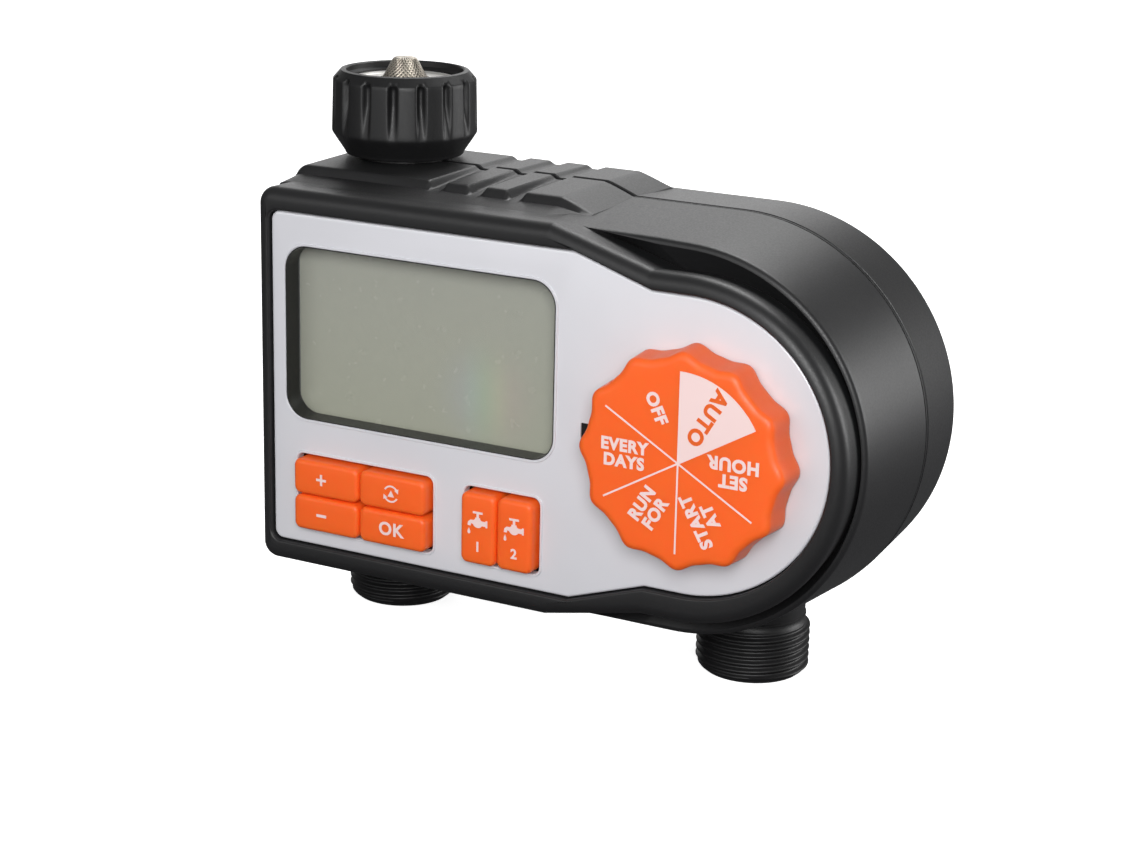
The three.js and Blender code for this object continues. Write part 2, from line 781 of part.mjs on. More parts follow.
valves.forEach((valve, i) => {
  add(`diaphragm_${i + 1}`, diaphragm(valve), 'rubber');
  add(`solenoid_${i + 1}`, solenoid(valve), 'frameBlack');
  add(`plunger_${i + 1}`, plunger(valve), 'steel');
  add(`plunger_spring_${i + 1}`, plungerSpring(valve), 'steel');
});
add('battery_tray', batteryTray(), 'frameBlack');
cellZ.forEach((z, i) => add(`battery_${i + 1}`, battery(z), 'battery'));
add('contact_left', contactPlate(-54.6), 'brass');
add('contact_right', contactPlate(0.2), 'brass');
add('battery_door', batteryDoor(), 'caseBlack');
add('door_seal', doorSeal(), 'rubber');

// Stand the timer on its outlets, with the origin in the middle of its base
const bounds = new THREE.Box3().setFromObject(group);
const middle = bounds.getCenter(new THREE.Vector3());
group.position.set(-middle.x, -middle.y, -bounds.min.z);

export default group;
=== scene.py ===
import math

import bmesh
import bpy
import numpy as np
from mathutils import Matrix, Vector


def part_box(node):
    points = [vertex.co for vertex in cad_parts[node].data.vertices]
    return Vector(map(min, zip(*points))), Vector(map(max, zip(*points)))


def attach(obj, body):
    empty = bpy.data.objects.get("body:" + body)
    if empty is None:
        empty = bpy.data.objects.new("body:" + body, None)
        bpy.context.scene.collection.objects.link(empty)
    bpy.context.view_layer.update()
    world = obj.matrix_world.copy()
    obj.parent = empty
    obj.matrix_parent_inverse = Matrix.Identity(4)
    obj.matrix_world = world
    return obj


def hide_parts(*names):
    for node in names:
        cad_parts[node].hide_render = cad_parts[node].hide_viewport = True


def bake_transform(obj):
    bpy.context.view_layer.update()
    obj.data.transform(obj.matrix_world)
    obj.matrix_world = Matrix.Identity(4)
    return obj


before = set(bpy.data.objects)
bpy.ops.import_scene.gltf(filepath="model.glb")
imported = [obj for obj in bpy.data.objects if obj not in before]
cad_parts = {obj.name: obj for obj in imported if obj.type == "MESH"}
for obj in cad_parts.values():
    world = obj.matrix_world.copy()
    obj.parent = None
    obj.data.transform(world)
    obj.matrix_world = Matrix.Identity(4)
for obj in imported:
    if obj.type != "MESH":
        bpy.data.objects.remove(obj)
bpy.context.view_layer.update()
print("frame loaded,", len(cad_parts), "CAD nodes")

# Shapes are worked out in millimetres from the middle of the face panel's round end, on the panel's
# front plane: x to the right, y to the back, z up.
faceEnd = 33.4
panelLow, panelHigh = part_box("face_panel")
faceOrigin = np.array([panelHigh[0] - faceEnd / 1000, panelLow[1], (panelLow[2] + panelHigh[2]) / 2])


def toScene(points):
    # millimetres from the face origin to metres in the frame of the CAD
    return np.asarray(points) / 1000 + faceOrigin


def faceBox(node):
    # the low and the high corner of a CAD node, in millimetres from the face origin
    return [(np.asarray(corner) - faceOrigin) * 1000 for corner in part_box(node)]


# Camera
view = {
    "turn": 28.0, "rise": 16.45, "roll": 1.31, "distance": 543.91, "lens": 78.26,
    "target": (-28.16, 0.0, 0.06),
}


def placeObject(name, data):
    made = bpy.data.objects.new(name, data)
    bpy.context.scene.collection.objects.link(made)
    return made


def addCamera():
    turn, rise, roll = (math.radians(view[key]) for key in ("turn", "rise", "roll"))
    back = np.array([math.sin(turn) * math.cos(rise), -math.cos(turn) * math.cos(rise), math.sin(rise)])
    right = np.array([math.cos(turn), math.sin(turn), 0])
    up = np.cross(back, right)
    # the roll turns right and up about the line of sight
    across = math.cos(roll) * right + math.sin(roll) * up
    upward = math.cos(roll) * up - math.sin(roll) * right
    place = toScene(np.array(view["target"]) + back * view["distance"])
    data = bpy.data.cameras.new("camera")
    data.lens = view["lens"]
    data.sensor_width = 36
    data.clip_start = 0.01
    camera = placeObject("camera", data)
    matrix = np.eye(4)
    matrix[:3] = np.column_stack([across, upward, back, place])
    camera.matrix_world = Matrix(matrix.tolist())
    bpy.context.scene.camera = camera


addCamera()
print("camera placed")


# Materials
def linear(hexColour):
    # sRGB to linear light: a straight part near black, a power of 2.4 above it
    srgb = np.array([int(hexColour[i:i + 2], 16) for i in (1, 3, 5)]) / 255
    light = np.where(srgb <= 0.04045, srgb / 12.92, ((srgb + 0.055) / 1.055) ** 2.4)
    return (*light.tolist(), 1.0)


def setNode(tree, node, settings=None, links=None):
    # values and incoming links; a setting is an input by name or number, or a property
    for key, value in (settings or {}).items():
        if isinstance(key, int) or key in node.inputs.keys():
            node.inputs[key].default_value = value
        else:
            setattr(node, key, value)
    for key, socket in (links or {}).items():
        tree.links.new(socket, node.inputs[key])
    return node


def addNode(tree, kind, settings=None, links=None):
    return setNode(tree, tree.nodes.new("ShaderNode" + kind), settings, links)


def newMaterial(name):
    material = bpy.data.materials.new(name)
    material.use_nodes = True
    tree = material.node_tree
    tree.nodes.clear()
    coords = addNode(tree, "TexCoord")
    shader = addNode(tree, "BsdfPrincipled")
    addNode(tree, "OutputMaterial", links={"Surface": shader.outputs["BSDF"]})
    return material, tree, coords, shader


def perMetre(millimetres):
    # a noise texture's features are about one over its scale
    return 1000 / millimetres


def solidFinish(name, look):
    # A moulded, painted or rolled solid: a fine grain in bump and roughness, and a slow drift in colour
    material, tree, coords, shader = newMaterial(name)
    place = coords.outputs["Object"]
    grain = addNode(tree, "TexNoise", {"Scale": perMetre(look["grain"]), "Detail": 3.0}, {"Vector": place})
    drift = addNode(tree, "TexNoise", {"Scale": perMetre(look["drift"]), "Detail": 2.0}, {"Vector": place})
    colours = addNode(
        tree, "Mix", {"data_type": "RGBA", 6: linear(look["colour"]), 7: linear(look["shade"])},
        {0: drift.outputs["Fac"]},
    )
    rough = addNode(
        tree, "MapRange",
        {"From Min": 0.3, "From Max": 0.7, "To Min": look["rough"][0], "To Max": look["rough"][1]},
        {"Value": grain.outputs["Fac"]},
    )
    bump = addNode(
        tree, "Bump", {"Strength": look["bump"], "Distance": look["height"] / 1000},
        {"Height": grain.outputs["Fac"]},
    )
    setNode(tree, shader, look.get("shader"), {
        "Base Color": colours.outputs[2], "Roughness": rough.outputs["Result"],
        "Normal": bump.outputs["Normal"],
    })
    return material


# sizes are in millimetres
plain = {"grain": 0.6, "drift": 20, "rough": (0.4, 0.5), "bump": 0.2, "height": 0.03}
looks = {
    # ABS, moulded in a spark-eroded tool: a satin black whose fine grain breaks up the highlights.
    # The real grain is about 0.15 mm and is drawn at 0.45 mm so that it shows.
    "casingAbs": dict(colour="#1d1d1e", shade="#19191a", grain=0.45, rough=(0.4, 0.5), bump=0.3),
    # Polypropylene, moulded in a polished tool: black with a soft sheen
    "fittingPolypropylene": dict(colour="#121213", shade="#0e0e0f", rough=(0.44, 0.52)),
    # ABS sprayed silver grey: a matt coat with a trace of metal flake
    "panelSilverPaint": dict(
        colour="#dfdfe4", shade="#d7d7dc", grain=0.5, rough=(0.29, 0.32), bump=0.02,
        shader={"Metallic": 0.12},
    ),
    # ABS moulded through in orange: bright satin, with a little light passing through its edges
    "keyOrangeAbs": dict(
        colour="#ff6820", shade="#fe631b", grain=0.7, rough=(0.42, 0.48), bump=0.08,
        shader={
            "Subsurface Weight": 0.45, "Subsurface Radius": (0.006, 0.002, 0.0006), "Subsurface Scale": 1.0,
        },
    ),
    # Pad-printed ink: a thin, nearly white film that is a touch glossier than the plastic
    "printInk": dict(colour="#f3d9d7", shade="#eed1ce", rough=(0.34, 0.42), bump=0.08),
    # Window frame of ABS with a black satin coat
    "frameBlackAbs": dict(colour="#121214", shade="#0e0e10", rough=(0.3, 0.4), bump=0.1),
    # Nitrile rubber, moulded: dull and dark
    "sealRubber": dict(colour="#202122", shade="#1b1c1d", rough=(0.65, 0.8), bump=0.3),
    # Stainless steel, rolled and stamped: bright with fine rolling marks
    "rolledSteel": dict(
        colour="#eceae6", shade="#e0deda", grain=0.3, rough=(0.3, 0.42), bump=0.1,
        shader={"Metallic": 0.85},
    ),
    # Steel screws, zinc plated: pale and slightly mottled
    "zincPlate": dict(
        colour="#c4c8cb", shade="#aeb3b7", drift=1.5, rough=(0.3, 0.45), shader={"Metallic": 1.0},
    ),
    # Nickel-plated spring brass for the battery contacts
    "nickelPlate": dict(
        colour="#cdc8b4", shade="#bdb79f", drift=4, rough=(0.25, 0.35), shader={"Metallic": 1.0},
    ),
    # Glass-filled epoxy board under green solder mask
    "solderMask": dict(colour="#1f6b3a", shade="#185a30", drift=3, rough=(0.25, 0.4)),
    # Acetal, moulded: waxy off-white for the water way
    "waterWayAcetal": dict(colour="#e8e5dd", shade="#dedbd2", rough=(0.4, 0.5)),
    # Printed film sleeve shrunk round a dry cell
    "cellSleeve": dict(colour="#44618f", shade="#3b5681", drift=8, rough=(0.22, 0.3)),
}
finishes = {name: solidFinish(name, {**plain, **look}) for name, look in looks.items()}

# sheenAt, sheenSize, sheenShare and hueHalf place a painted sheen: a rainbow patch of light painted into the
# display's colour
displayLook = {
    "low": "#93947f", "high": "#8f9083", "sheenAt": (-53, 6.3, 1.5), "sheenSize": 16, "sheenShare": 0.25,
    "hueHalf": 0.007, "rough": 0.22,
}


def displayGlass():
    # Liquid-crystal glass behind a polariser: grey green, warmer towards its foot, with a soft painted rainbow
    # sheen
    material, tree, coords, shader = newMaterial("crystalDisplay")
    look = displayLook
    low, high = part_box("display_glass")
    place = coords.outputs["Object"]
    split = addNode(tree, "SeparateXYZ", links={0: place})
    rise = addNode(tree, "MapRange", {"From Min": low[2], "From Max": high[2]}, {"Value": split.outputs["Z"]})
    base = addNode(
        tree, "Mix", {"data_type": "RGBA", 6: linear(look["low"]), 7: linear(look["high"])},
        {0: rise.outputs["Result"]},
    )
    # the painted sheen fades with the distance from its middle, and its hue turns along x
    middle, reach = toScene(look["sheenAt"]), look["hueHalf"]
    centred = addNode(
        tree, "Mapping", {"vector_type": "POINT", "Location": (-middle).tolist()}, {"Vector": place},
    )
    far = addNode(tree, "VectorMath", {"operation": "LENGTH"}, {0: centred.outputs["Vector"]})
    fade = addNode(
        tree, "MapRange",
        {"interpolation_type": "SMOOTHSTEP", "From Max": look["sheenSize"] / 1000, "To Min": look["sheenShare"],
         "To Max": 0.0},
        {"Value": far.outputs["Value"]},
    )
    hueTurn = addNode(
        tree, "MapRange",
        {"From Min": middle[0] - reach, "From Max": middle[0] + reach, "To Min": 0.62, "To Max": 0.0},
        {"Value": split.outputs["X"]},
    )
    rainbow = addNode(tree, "CombineColor", {"mode": "HSV", 1: 0.45, 2: 0.5}, {0: hueTurn.outputs["Result"]})
    # the painted sheen is mixed over the display's own colour
    shown = addNode(
        tree, "Mix", {"data_type": "RGBA"},
        {0: fade.outputs["Result"], 6: base.outputs[2], 7: rainbow.outputs["Color"]},
    )
    mottle = addNode(tree, "TexNoise", {"Scale": perMetre(3)}, {"Vector": place})
    rough = addNode(
        tree, "MapRange", {"To Min": look["rough"], "To Max": look["rough"] + 0.08},
        {"Value": mottle.outputs["Fac"]},
    )
    setNode(
        tree, shader, {"Coat Weight": 0.4, "Coat Roughness": 0.08},
        {"Base Color": shown.outputs[2], "Roughness": rough.outputs["Result"]},
    )
    return material


def clearWindow():
    # Acrylic window, cast clear: all but unseen, with a soft sheen
    material, tree, coords, shader = newMaterial("clearAcrylic")
    haze = addNode(tree, "TexNoise", {"Scale": perMetre(2)}, {"Vector": coords.outputs["Object"]})
    rough = addNode(tree, "MapRange", {"To Min": 0.12, "To Max": 0.16}, {"Value": haze.outputs["Fac"]})
    setNode(
        tree, shader, {"Base Color": linear("#eef2ef"), "Alpha": 0.08, "Specular IOR Level": 0.2},
        {"Roughness": rough.outputs["Result"]},
    )
    return material


def wovenWire():
    # Stainless wire cloth, woven and pressed into a cone: bright wires, with painted shade in the dark holes
    # between them.
    # The cloth's wires are 0.35 mm apart and are drawn 0.7 mm apart so that they show.
    pitch = 0.7
    material, tree, coords, shader = newMaterial("stainlessWireCloth")
    uv = coords.outputs["UV"]
    waves = []
    for turn in (45, -45):
        slanted = addNode(tree, "Mapping", {"Rotation": (0, 0, math.radians(turn))}, {"Vector": uv})
        # the UV map is in metres, and a band wave repeats every pi/10 over its scale
        waves.append(addNode(
            tree, "TexWave",
            {"wave_type": "BANDS", "Scale": math.pi / 10 * perMetre(pitch), "Distortion": 0.0},
            {"Vector": slanted.outputs["Vector"]},
        ))
    cloth = addNode(
        tree, "Math", {"operation": "MAXIMUM"}, {0: waves[0].outputs["Fac"], 1: waves[1].outputs["Fac"]},
    )
    # the dark colour between the wires is painted shade, for the dim inside of the cone seen through the holes
    tone = addNode(
        tree, "Mix", {"data_type": "RGBA", 6: linear("#3a3630"), 7: linear("#cdc4b6")},
        {0: cloth.outputs["Value"]},
    )
    bump = addNode(tree, "Bump", {"Strength": 0.8, "Distance": 0.0002}, {"Height": cloth.outputs["Value"]})
    setNode(
        tree, shader, {"Metallic": 1.0, "Roughness": 0.32},
        {"Base Color": tone.outputs[2], "Normal": bump.outputs["Normal"]},
    )
    return material


finishes["crystalDisplay"] = displayGlass()
finishes["clearAcrylic"] = clearWindow()
finishes["stainlessWireCloth"] = wovenWire()
print("materials made:", len(finishes))


# Surfaces
def surface(grid, closeRows=False, capFirst=False, capLast=False, caps=False):
    # each row is a ring of points joined to its neighbours, and an end ring may be capped flat
    grid = np.asarray(grid)
    rows, count = grid.shape[:2]
    here = np.arange(rows if closeRows else rows - 1)[:, None]
    along = np.arange(count)[None, :]
    after = (here + 1) % rows
    beside = (along + 1) % count
    quads = np.stack(
        [here * count + along, here * count + beside, after * count + beside, after * count + along], axis=-1
    )
    faces = quads.reshape(-1, 4).tolist()
    if capFirst or caps:
        faces.append(list(range(count)))
    if capLast or caps:
        faces.append(list(range((rows - 1) * count, rows * count)))
    return grid.reshape(-1, 3), faces


def rawMesh(name, parts):
    # all parts in one mesh, doubles merged, faces turned outwards
    vertices, faces, start = [], [], 0
    for points, polygons in parts:
        vertices.append(toScene(points))
        faces += [[start + corner for corner in polygon] for polygon in polygons]
        start += len(points)
    mesh = bpy.data.meshes.new(name)
    mesh.from_pydata(np.concatenate(vertices).tolist(), [], faces)
    work = bmesh.new()
    work.from_mesh(mesh)
    bmesh.ops.remove_doubles(work, verts=work.verts, dist=2e-7)
    bmesh.ops.dissolve_degenerate(work, edges=work.edges, dist=1e-7)
    bmesh.ops.recalc_face_normals(work, faces=work.faces)
    work.to_mesh(mesh)
    work.free()
    return placeObject(name, mesh)


def shapedMesh(piece):
    # the mesh of a text, or of a piece with its modifiers
    graph = bpy.context.evaluated_depsgraph_get()
    return bpy.data.meshes.new_from_object(piece.evaluated_get(graph))


def meshPoints(mesh):
    points = np.empty(len(mesh.vertices) * 3)
    mesh.vertices.foreach_get("co", points)
    return points.reshape(-1, 3)


def cutAway(piece, parts):
    # takes the volume of the parts out of the piece
    cutter = rawMesh("cutter", parts)
    cut = piece.modifiers.new("cut", "BOOLEAN")
    cut.operation = "DIFFERENCE"
    cut.solver = "EXACT"
    cut.object = cutter
    shaped = shapedMesh(piece)
    piece.modifiers.clear()
    piece.data = shaped
    bpy.data.objects.remove(cutter)


def joinParts(piece, parts):
    # adds parts to a piece, and merges no points
    extra = rawMesh("extra", parts)
    joined = bmesh.new()
    joined.from_mesh(piece.data)
    joined.from_mesh(extra.data)
    joined.to_mesh(piece.data)
    joined.free()
    bpy.data.objects.remove(extra)


def finishPiece(piece, finish, body, nodes=(), sharp=32):
    piece.data.materials.clear()
    piece.data.materials.append(finishes[finish])
    piece.data.shade_smooth()
    piece.data.set_sharp_from_angle(angle=math.radians(sharp))
    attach(piece, body)
    if nodes:
        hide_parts(*nodes)


def makePiece(name, parts, finish, body, nodes=(), sharp=32):
    finishPiece(rawMesh(name, parts), finish, body, nodes, sharp)


def flatRow(outline, y):
    # an outline in x and z, set at a depth y, which may differ from point to point
    outline = np.asarray(outline)
    return np.stack([outline[:, 0], np.broadcast_to(y, len(outline)), outline[:, 1]], axis=-1)


def roundedOutline(corners, grow=0.0, arcSteps=8, sideSteps=1):
    # A closed outline through corners (x, z, radius), anticlockwise from the front. Each arc is a rational
    # quadratic curve whose middle weight is the cosine of half the turn, which makes it a true circle.
    corners = np.asarray(corners, dtype=float)
    points, radius = corners[:, :2], corners[:, 2]
    leave = np.roll(points, -1, axis=0) - points
    leave /= np.linalg.norm(leave, axis=1)[:, None]
    arrive = np.roll(leave, 1, axis=0)
    dots = (arrive * leave).sum(axis=1)
    turn = np.arctan2(arrive[:, 0] * leave[:, 1] - arrive[:, 1] * leave[:, 0], dots)
    normals = np.stack([arrive[:, 1] + leave[:, 1], -arrive[:, 0] - leave[:, 0]], axis=-1)
    points = points + grow * normals / (1 + dots)[:, None]
    bend = radius + grow * np.sign(turn)
    cut = np.maximum(bend * np.tan(np.abs(turn) / 2), 0.05)[:, None]
    t = np.linspace(0, 1, arcSteps + 1)[None, :, None]
    first, last = (points - arrive * cut)[:, None], (points + leave * cut)[:, None]
    weights = [(1 - t) ** 2, 2 * np.cos(turn / 2)[:, None, None] * t * (1 - t), t ** 2]
    arcs = (weights[0] * first + weights[1] * points[:, None] + weights[2] * last) / sum(weights)
    s = (np.arange(sideSteps) + 1)[None, :, None] / (sideSteps + 1)
    sides = last * (1 - s) + np.roll(first, -1, axis=0) * s
    return np.concatenate([arcs, sides], axis=1).reshape(-1, 2)


def rectangle(x0, x1, z0, z1, radius):
    return [(x1, z0, radius), (x1, z1, radius), (x0, z1, radius), (x0, z0, radius)]


def cornerRows(corners, places, arcSteps=8):
    # one row for each pair of growth and depth
    return [flatRow(roundedOutline(corners, grow, arcSteps), y) for grow, y in places]


def fullTurn(sides):
    return np.linspace(0, 2 * np.pi, sides, endpoint=False)


def carryRound(radius, height, x, y):
    # a radius for each row and side, and a height for each row, carried round a vertical axis at x, y
    angle = fullTurn(radius.shape[1])
    across, deep = x + radius * np.cos(angle), y + radius * np.sin(angle)
    return np.stack([across, deep, np.broadcast_to(height, radius.shape)], axis=-1)


def turnedGrid(profile, x, y, sides=96):
    # a profile of (radius, height) carried round
    profile = np.asarray(profile)
    return carryRound(np.repeat(profile[:, :1], sides, axis=1), profile[:, 1:], x, y)


def facingGrid(profile, x, z, sides=48):
    # a profile of (radius, depth) carried round an axis that runs from front to back
    grid = turnedGrid(profile, x, 0, sides)
    return np.stack([grid[..., 0], grid[..., 2], grid[..., 1] + z], axis=-1)


def quarterRound(start, end, steps=6):
    # a quarter of an ellipse that leaves the start along its first number
    turn = np.linspace(0, np.pi / 2, steps + 1)
    first = start[0] + (end[0] - start[0]) * np.sin(turn)
    second = start[1] + (end[1] - start[1]) * (1 - np.cos(turn))
    return list(zip(first, second))


# Casing
casing = {
    "left": -110.6, "places": (-110.6, -36, -28.6, -12), "panelGap": 0.3, "panelSeat": 2.5,
    "innerFront": 12, "rimFront": -1.2, "rimLip": 0.5, "rimRounding": 2.9, "rimRear": 3.2,
    "recessDepth": 4.2, "grooveDepth": 10.5, "grooveLeft": -31, "grooveRun": 9, "frontEdge": 7.3,
    "edgeRounding": 1.3, "ledgeBack": 14.5, "seam": 37.5, "seamHalf": 0.7, "rearEdge": 57.0,
    "rearRounding": 2.5, "back": 59.5, "wall": 2.5, "endSteps": 40,
}


def endCorner(shoulder, centre, radius, side):
    # the corner of the two tangents that hold the round end: one leaves the shoulder, the other is upright
    reach = math.hypot(shoulder[0] - centre[0], shoulder[1] - centre[1])
    slope = math.atan2(side * (shoulder[1] - centre[1]), shoulder[0] - centre[0])
    touch = slope - math.acos(min(1.0, radius / reach))
    return centre[0] + radius, centre[1] + side * radius * math.tan(touch / 2), radius


seamCentre = (-5.5, -1.4)
# Each outline has the heights of its upper and of its lower corners, from the left to the shoulder where the
# round end begins, their places and radii, and the end's centre and radius. The inset ends the cone behind
# the rim.
outlines = {
    "panel": (
        (39.6, 39.6, 36.5, 33.4), (-39.6, -39.6, -36.5, -33.4),
        (-107.15, -27.8, -18.4, -9), (2.3, 0.8, 3, 1.5), (0, 0), faceEnd,
    ),
    "rim": (
        (44.9, 44.9, 41.29, 37.7), (-44.9, -44.9, -42.5, -40.1),
        (casing["left"], -33.9, -21.7, -9.6), (4, 2, 3, 2), (-1.6, -1.2), 38.9,
    ),
    "recess": (
        (44.82, 44.8, 42.6, 35.9), (-45.0, -45.0, -44.0, -38.9),
        (casing["left"], -34.5, -26.6, -6.0), (4, 3, 1.5, 2), (-0.9, -1.4), 37.4,
    ),
    "inset": (
        (44.74, 44.74, 43.45, 41.9), (-45.1, -45.2, -45.3, -44.5),
        casing["places"], (4, 6, 2, 10), seamCentre, 43.0,
    ),
    "front": (
        (44.7, 44.7, 43.5, 43.2), (-45.2, -45.3, -45.5, -45.7),
        casing["places"], (4, 6, 6, 12), seamCentre, 44.3,
    ),
    "seam": ([45.0] * 4, [-47.8] * 4, casing["places"], (4, 6, 6, 12), seamCentre, 46.39),
    "rear": ([43.9] * 4, [-46.7] * 4, casing["places"], (4, 6, 6, 12), seamCentre, 45.29),
}


def caseLine(name, grow=0.0):
    above, below, places, radii, centre, radius = outlines[name]
    upper, lower = list(zip(places, above, radii)), list(zip(places, below, radii))
    ends = endCorner(lower[-1], centre, radius, -1), endCorner(upper[-1], centre, radius, 1)
    return roundedOutline([*lower, *ends, *reversed(upper)], grow, arcSteps=casing["endSteps"], sideSteps=4)


def caseRows(name, places):
    # one row for each pair of growth and depth
    return [flatRow(caseLine(name, grow), y) for grow, y in places]


def bandRows(first, firstY, last, lastY, steps, ends=False):
    # rows between two outlines, mixed evenly with depth
    share = np.linspace(0, 1, steps + 2)
    share = share if ends else share[1:-1]
    return [flatRow(first * (1 - s) + last * s, firstY * (1 - s) + lastY * s) for s in share]


def frontShellRows():
    front, rounding = casing["rimFront"], casing["rimRounding"]
    edge, soft = casing["frontEdge"], casing["edgeRounding"]
    seam, wall, inner = casing["seam"] - casing["seamHalf"], casing["wall"], casing["innerFront"]
    gap, seat, lip = casing["panelGap"], casing["panelSeat"], casing["rimLip"]
    rows = caseRows("panel", [(-2, inner), (-2, seat), (gap, seat), (gap, front + lip)])
    # inner lip of the rim, then its flat front and its rounded outer edge
    rows += caseRows("panel", [(gap + g, y) for y, g in quarterRound((front + lip, 0), (front, lip), 4)[1:]])
    rows += caseRows("rim", quarterRound((-rounding, front), (0, front + rounding), 9))
    rows += caseRows("rim", [(-0.05, casing["rimRear"])])
    # Behind the rim a groove runs round the end of the case. It deepens with x, by a smooth step, and its
    # outer wall leans out to the case's front edge.
    recess = caseLine("recess")
    into = np.clip((recess[:, 0] - casing["grooveLeft"]) / casing["grooveRun"], 0, 1)
    deeper = casing["grooveDepth"] - casing["recessDepth"]
    deepest = casing["recessDepth"] + deeper * into * into * (3 - 2 * into)
    rows += [flatRow(recess, deepest - 0.1), flatRow(recess, deepest + 0.1)]
    cone, outer, meet = caseLine("inset"), caseLine("front"), caseLine("seam")
    flare = quarterRound((0, edge), (1, edge + soft), 7)
    rows += [flatRow(cone + (outer - cone) * share, y) for share, y in flare]
    ledge = outer * 0.78 + meet * 0.22
    rows += bandRows(outer, edge + soft, ledge, casing["ledgeBack"], 3)
    rows += bandRows(ledge, casing["ledgeBack"], meet, seam, 8, ends=True)[:-1]
    rows += [flatRow(caseLine("seam", -0.3 + g), y) for g, y in quarterRound((0.3, seam - 0.3), (0, seam), 4)]
    return rows + caseRows("seam", [(-wall, seam)]) + caseRows("front", [(-wall, inner)])


block = {
    "foot": 39.0, "base": 43.6, "top": 47.5, "rounding": 3.0, "front": 14.5, "rampStart": 8.6,
    # how far behind the front, and which share of the full height is reached there
    "profile": ((0, 0.52), (0.9, 0.86), (1.2, 0.94), (1.6, 0.985), (2.2, 1.0)),
    "rampShare": 0.27, "rearEdge": 56.2, "rearFall": 2.2, "rightTop": -40.2, "rightFoot": -32.0,
    "firstGroove": -74.5, "groovePitch": 10.2, "grooveTop": 5.2, "grooveFloor": 2.2,
    "grooveDeep": 1.9, "grooveShallow": 0.8, "grooveCount": 3,
}


def blockRows(depths, frontStep, rearStep):
    # The raised block: its height over the ledge is the product of a front profile (a gentle ramp, then a
    # step), a fall at the rear and a slope at the right, less three flat-bottomed grooves from front to back
    corner = np.array(quarterRound((0, 0), (1, 1), 8))
    left, right, base, rounding = casing["left"], block["rightFoot"], block["base"], block["rounding"]
    front, first, pitch, wide = block["front"], block["firstGroove"], block["groovePitch"], block["grooveTop"]
    many, slopeSteps = 150, 14
    x = np.concatenate([
        [left + 0.6],
        np.full(3, left),
        left + rounding * corner[:, 1],
        np.linspace(left + rounding, first - 3, 12)[1:],
        np.linspace(first - 2.5, block["rightTop"] - 0.5, many),
        np.linspace(block["rightTop"], right, slopeSteps),
        [right + 0.5],
    ])
    flat = block["top"] - base
    height = np.concatenate([
        [-3.2],
        np.linspace(-2.6, flat - rounding, 4)[:-1],
        flat - rounding + rounding * corner[:, 0],
        np.full(11 + many, flat),
        flat - (flat - 0.9) * np.linspace(0, 1, slopeSteps) ** 1.15,
        [-1.0],
    ])
    # the groove's wall: nought outside its top width, one inside its floor width
    offset = (x - first - wide / 2) % pitch
    offset = np.minimum(offset, pitch - offset)
    last = first + pitch * block["grooveCount"]
    near = (x > first - 1.5) & (x < last)
    slope = (wide - block["grooveFloor"]) / 2
    wall = np.clip((wide / 2 - offset) / slope, 0, 1) * near
    # the corners of the wall are eased with a share of a smooth step
    wall = 0.6 * wall + 0.4 * wall * wall * (3 - 2 * wall)
    stops = [block["rampStart"] - front, *(behind for behind, _ in block["profile"])]
    shares = [block["rampShare"], *(share for _, share in block["profile"])]
    rows = []
    for y in depths:
        rise = np.interp(y - front, stops, shares) if frontStep else 1.0
        fall = np.clip((block["rearEdge"] - y) / block["rearFall"], 0, 1) if rearStep else 1.0
        fall = math.sqrt(1 - (1 - fall) ** 2)
        # the top rises a little to the joint and falls behind it, and the grooves grow shallow
        crown = 0.012 * (y - front) if y < casing["seam"] else 0.27 - 0.02 * (y - casing["seam"])
        deep = np.clip(block["grooveDeep"] - 0.045 * (y - front), block["grooveShallow"], block["grooveDeep"])
        full = (height + crown) * rise
        floor = height + crown - deep
        cut = np.where(wall > 0, full * (1 - wall) + floor * wall, full)
        z = base + np.minimum(full, cut) * (0.2 + 0.8 * fall)
        low = np.minimum(z, base + height)
        section = np.stack([x, np.full_like(x, y), np.where(height < 0, low, z)], axis=-1)
        under = np.array([[right + 0.5, y, block["foot"]], [left + 0.7, y, block["foot"]]])
        rows.append(np.concatenate([section, under]))
    return np.array(rows)


def makeFrontShell():
    seam = casing["seam"] - casing["seamHalf"]
    ramp = np.linspace(block["rampStart"], block["front"], 5)[:-1]
    step = block["front"] + np.array([behind for behind, _ in block["profile"]])
    depths = np.concatenate([ramp, step, np.linspace(step[-1] + 1, seam - 0.3, 12), [seam]])
    rows = blockRows(depths, True, False)
    rows[-1, :, 2] -= 0.25
    makePiece(
        "front_casing",
        [surface(frontShellRows(), closeRows=True), surface(rows, caps=True)],
        "casingAbs", "case", ["front_shell"],
    )


backDoor = {
    "corners": rectangle(-60, 6, -6, 32, 4), "rebate": 2.4, "rebateDepth": 1.6, "flange": 2.05,
    "flangeRear": 1.45, "plug": -1.4, "grip": rectangle(-35, -19, 27, 31.4, 1.5),
}
screws = {
    "places": [(-77, 39.2), (-77, -41.4), (-20, 39), (-25, -41.4), (28.5, 18), (28.5, -21)],
    "well": 2.9,
    "wellFloor": 50,
    "cup": [(3.6, 58), (2.92, 58), (2.92, 47), (1.6, 47), (1.6, 45), (3.6, 45)],
}


def slab(outline, y0, y1):
    return surface([flatRow(outline, y0), flatRow(outline, y1)], caps=True)


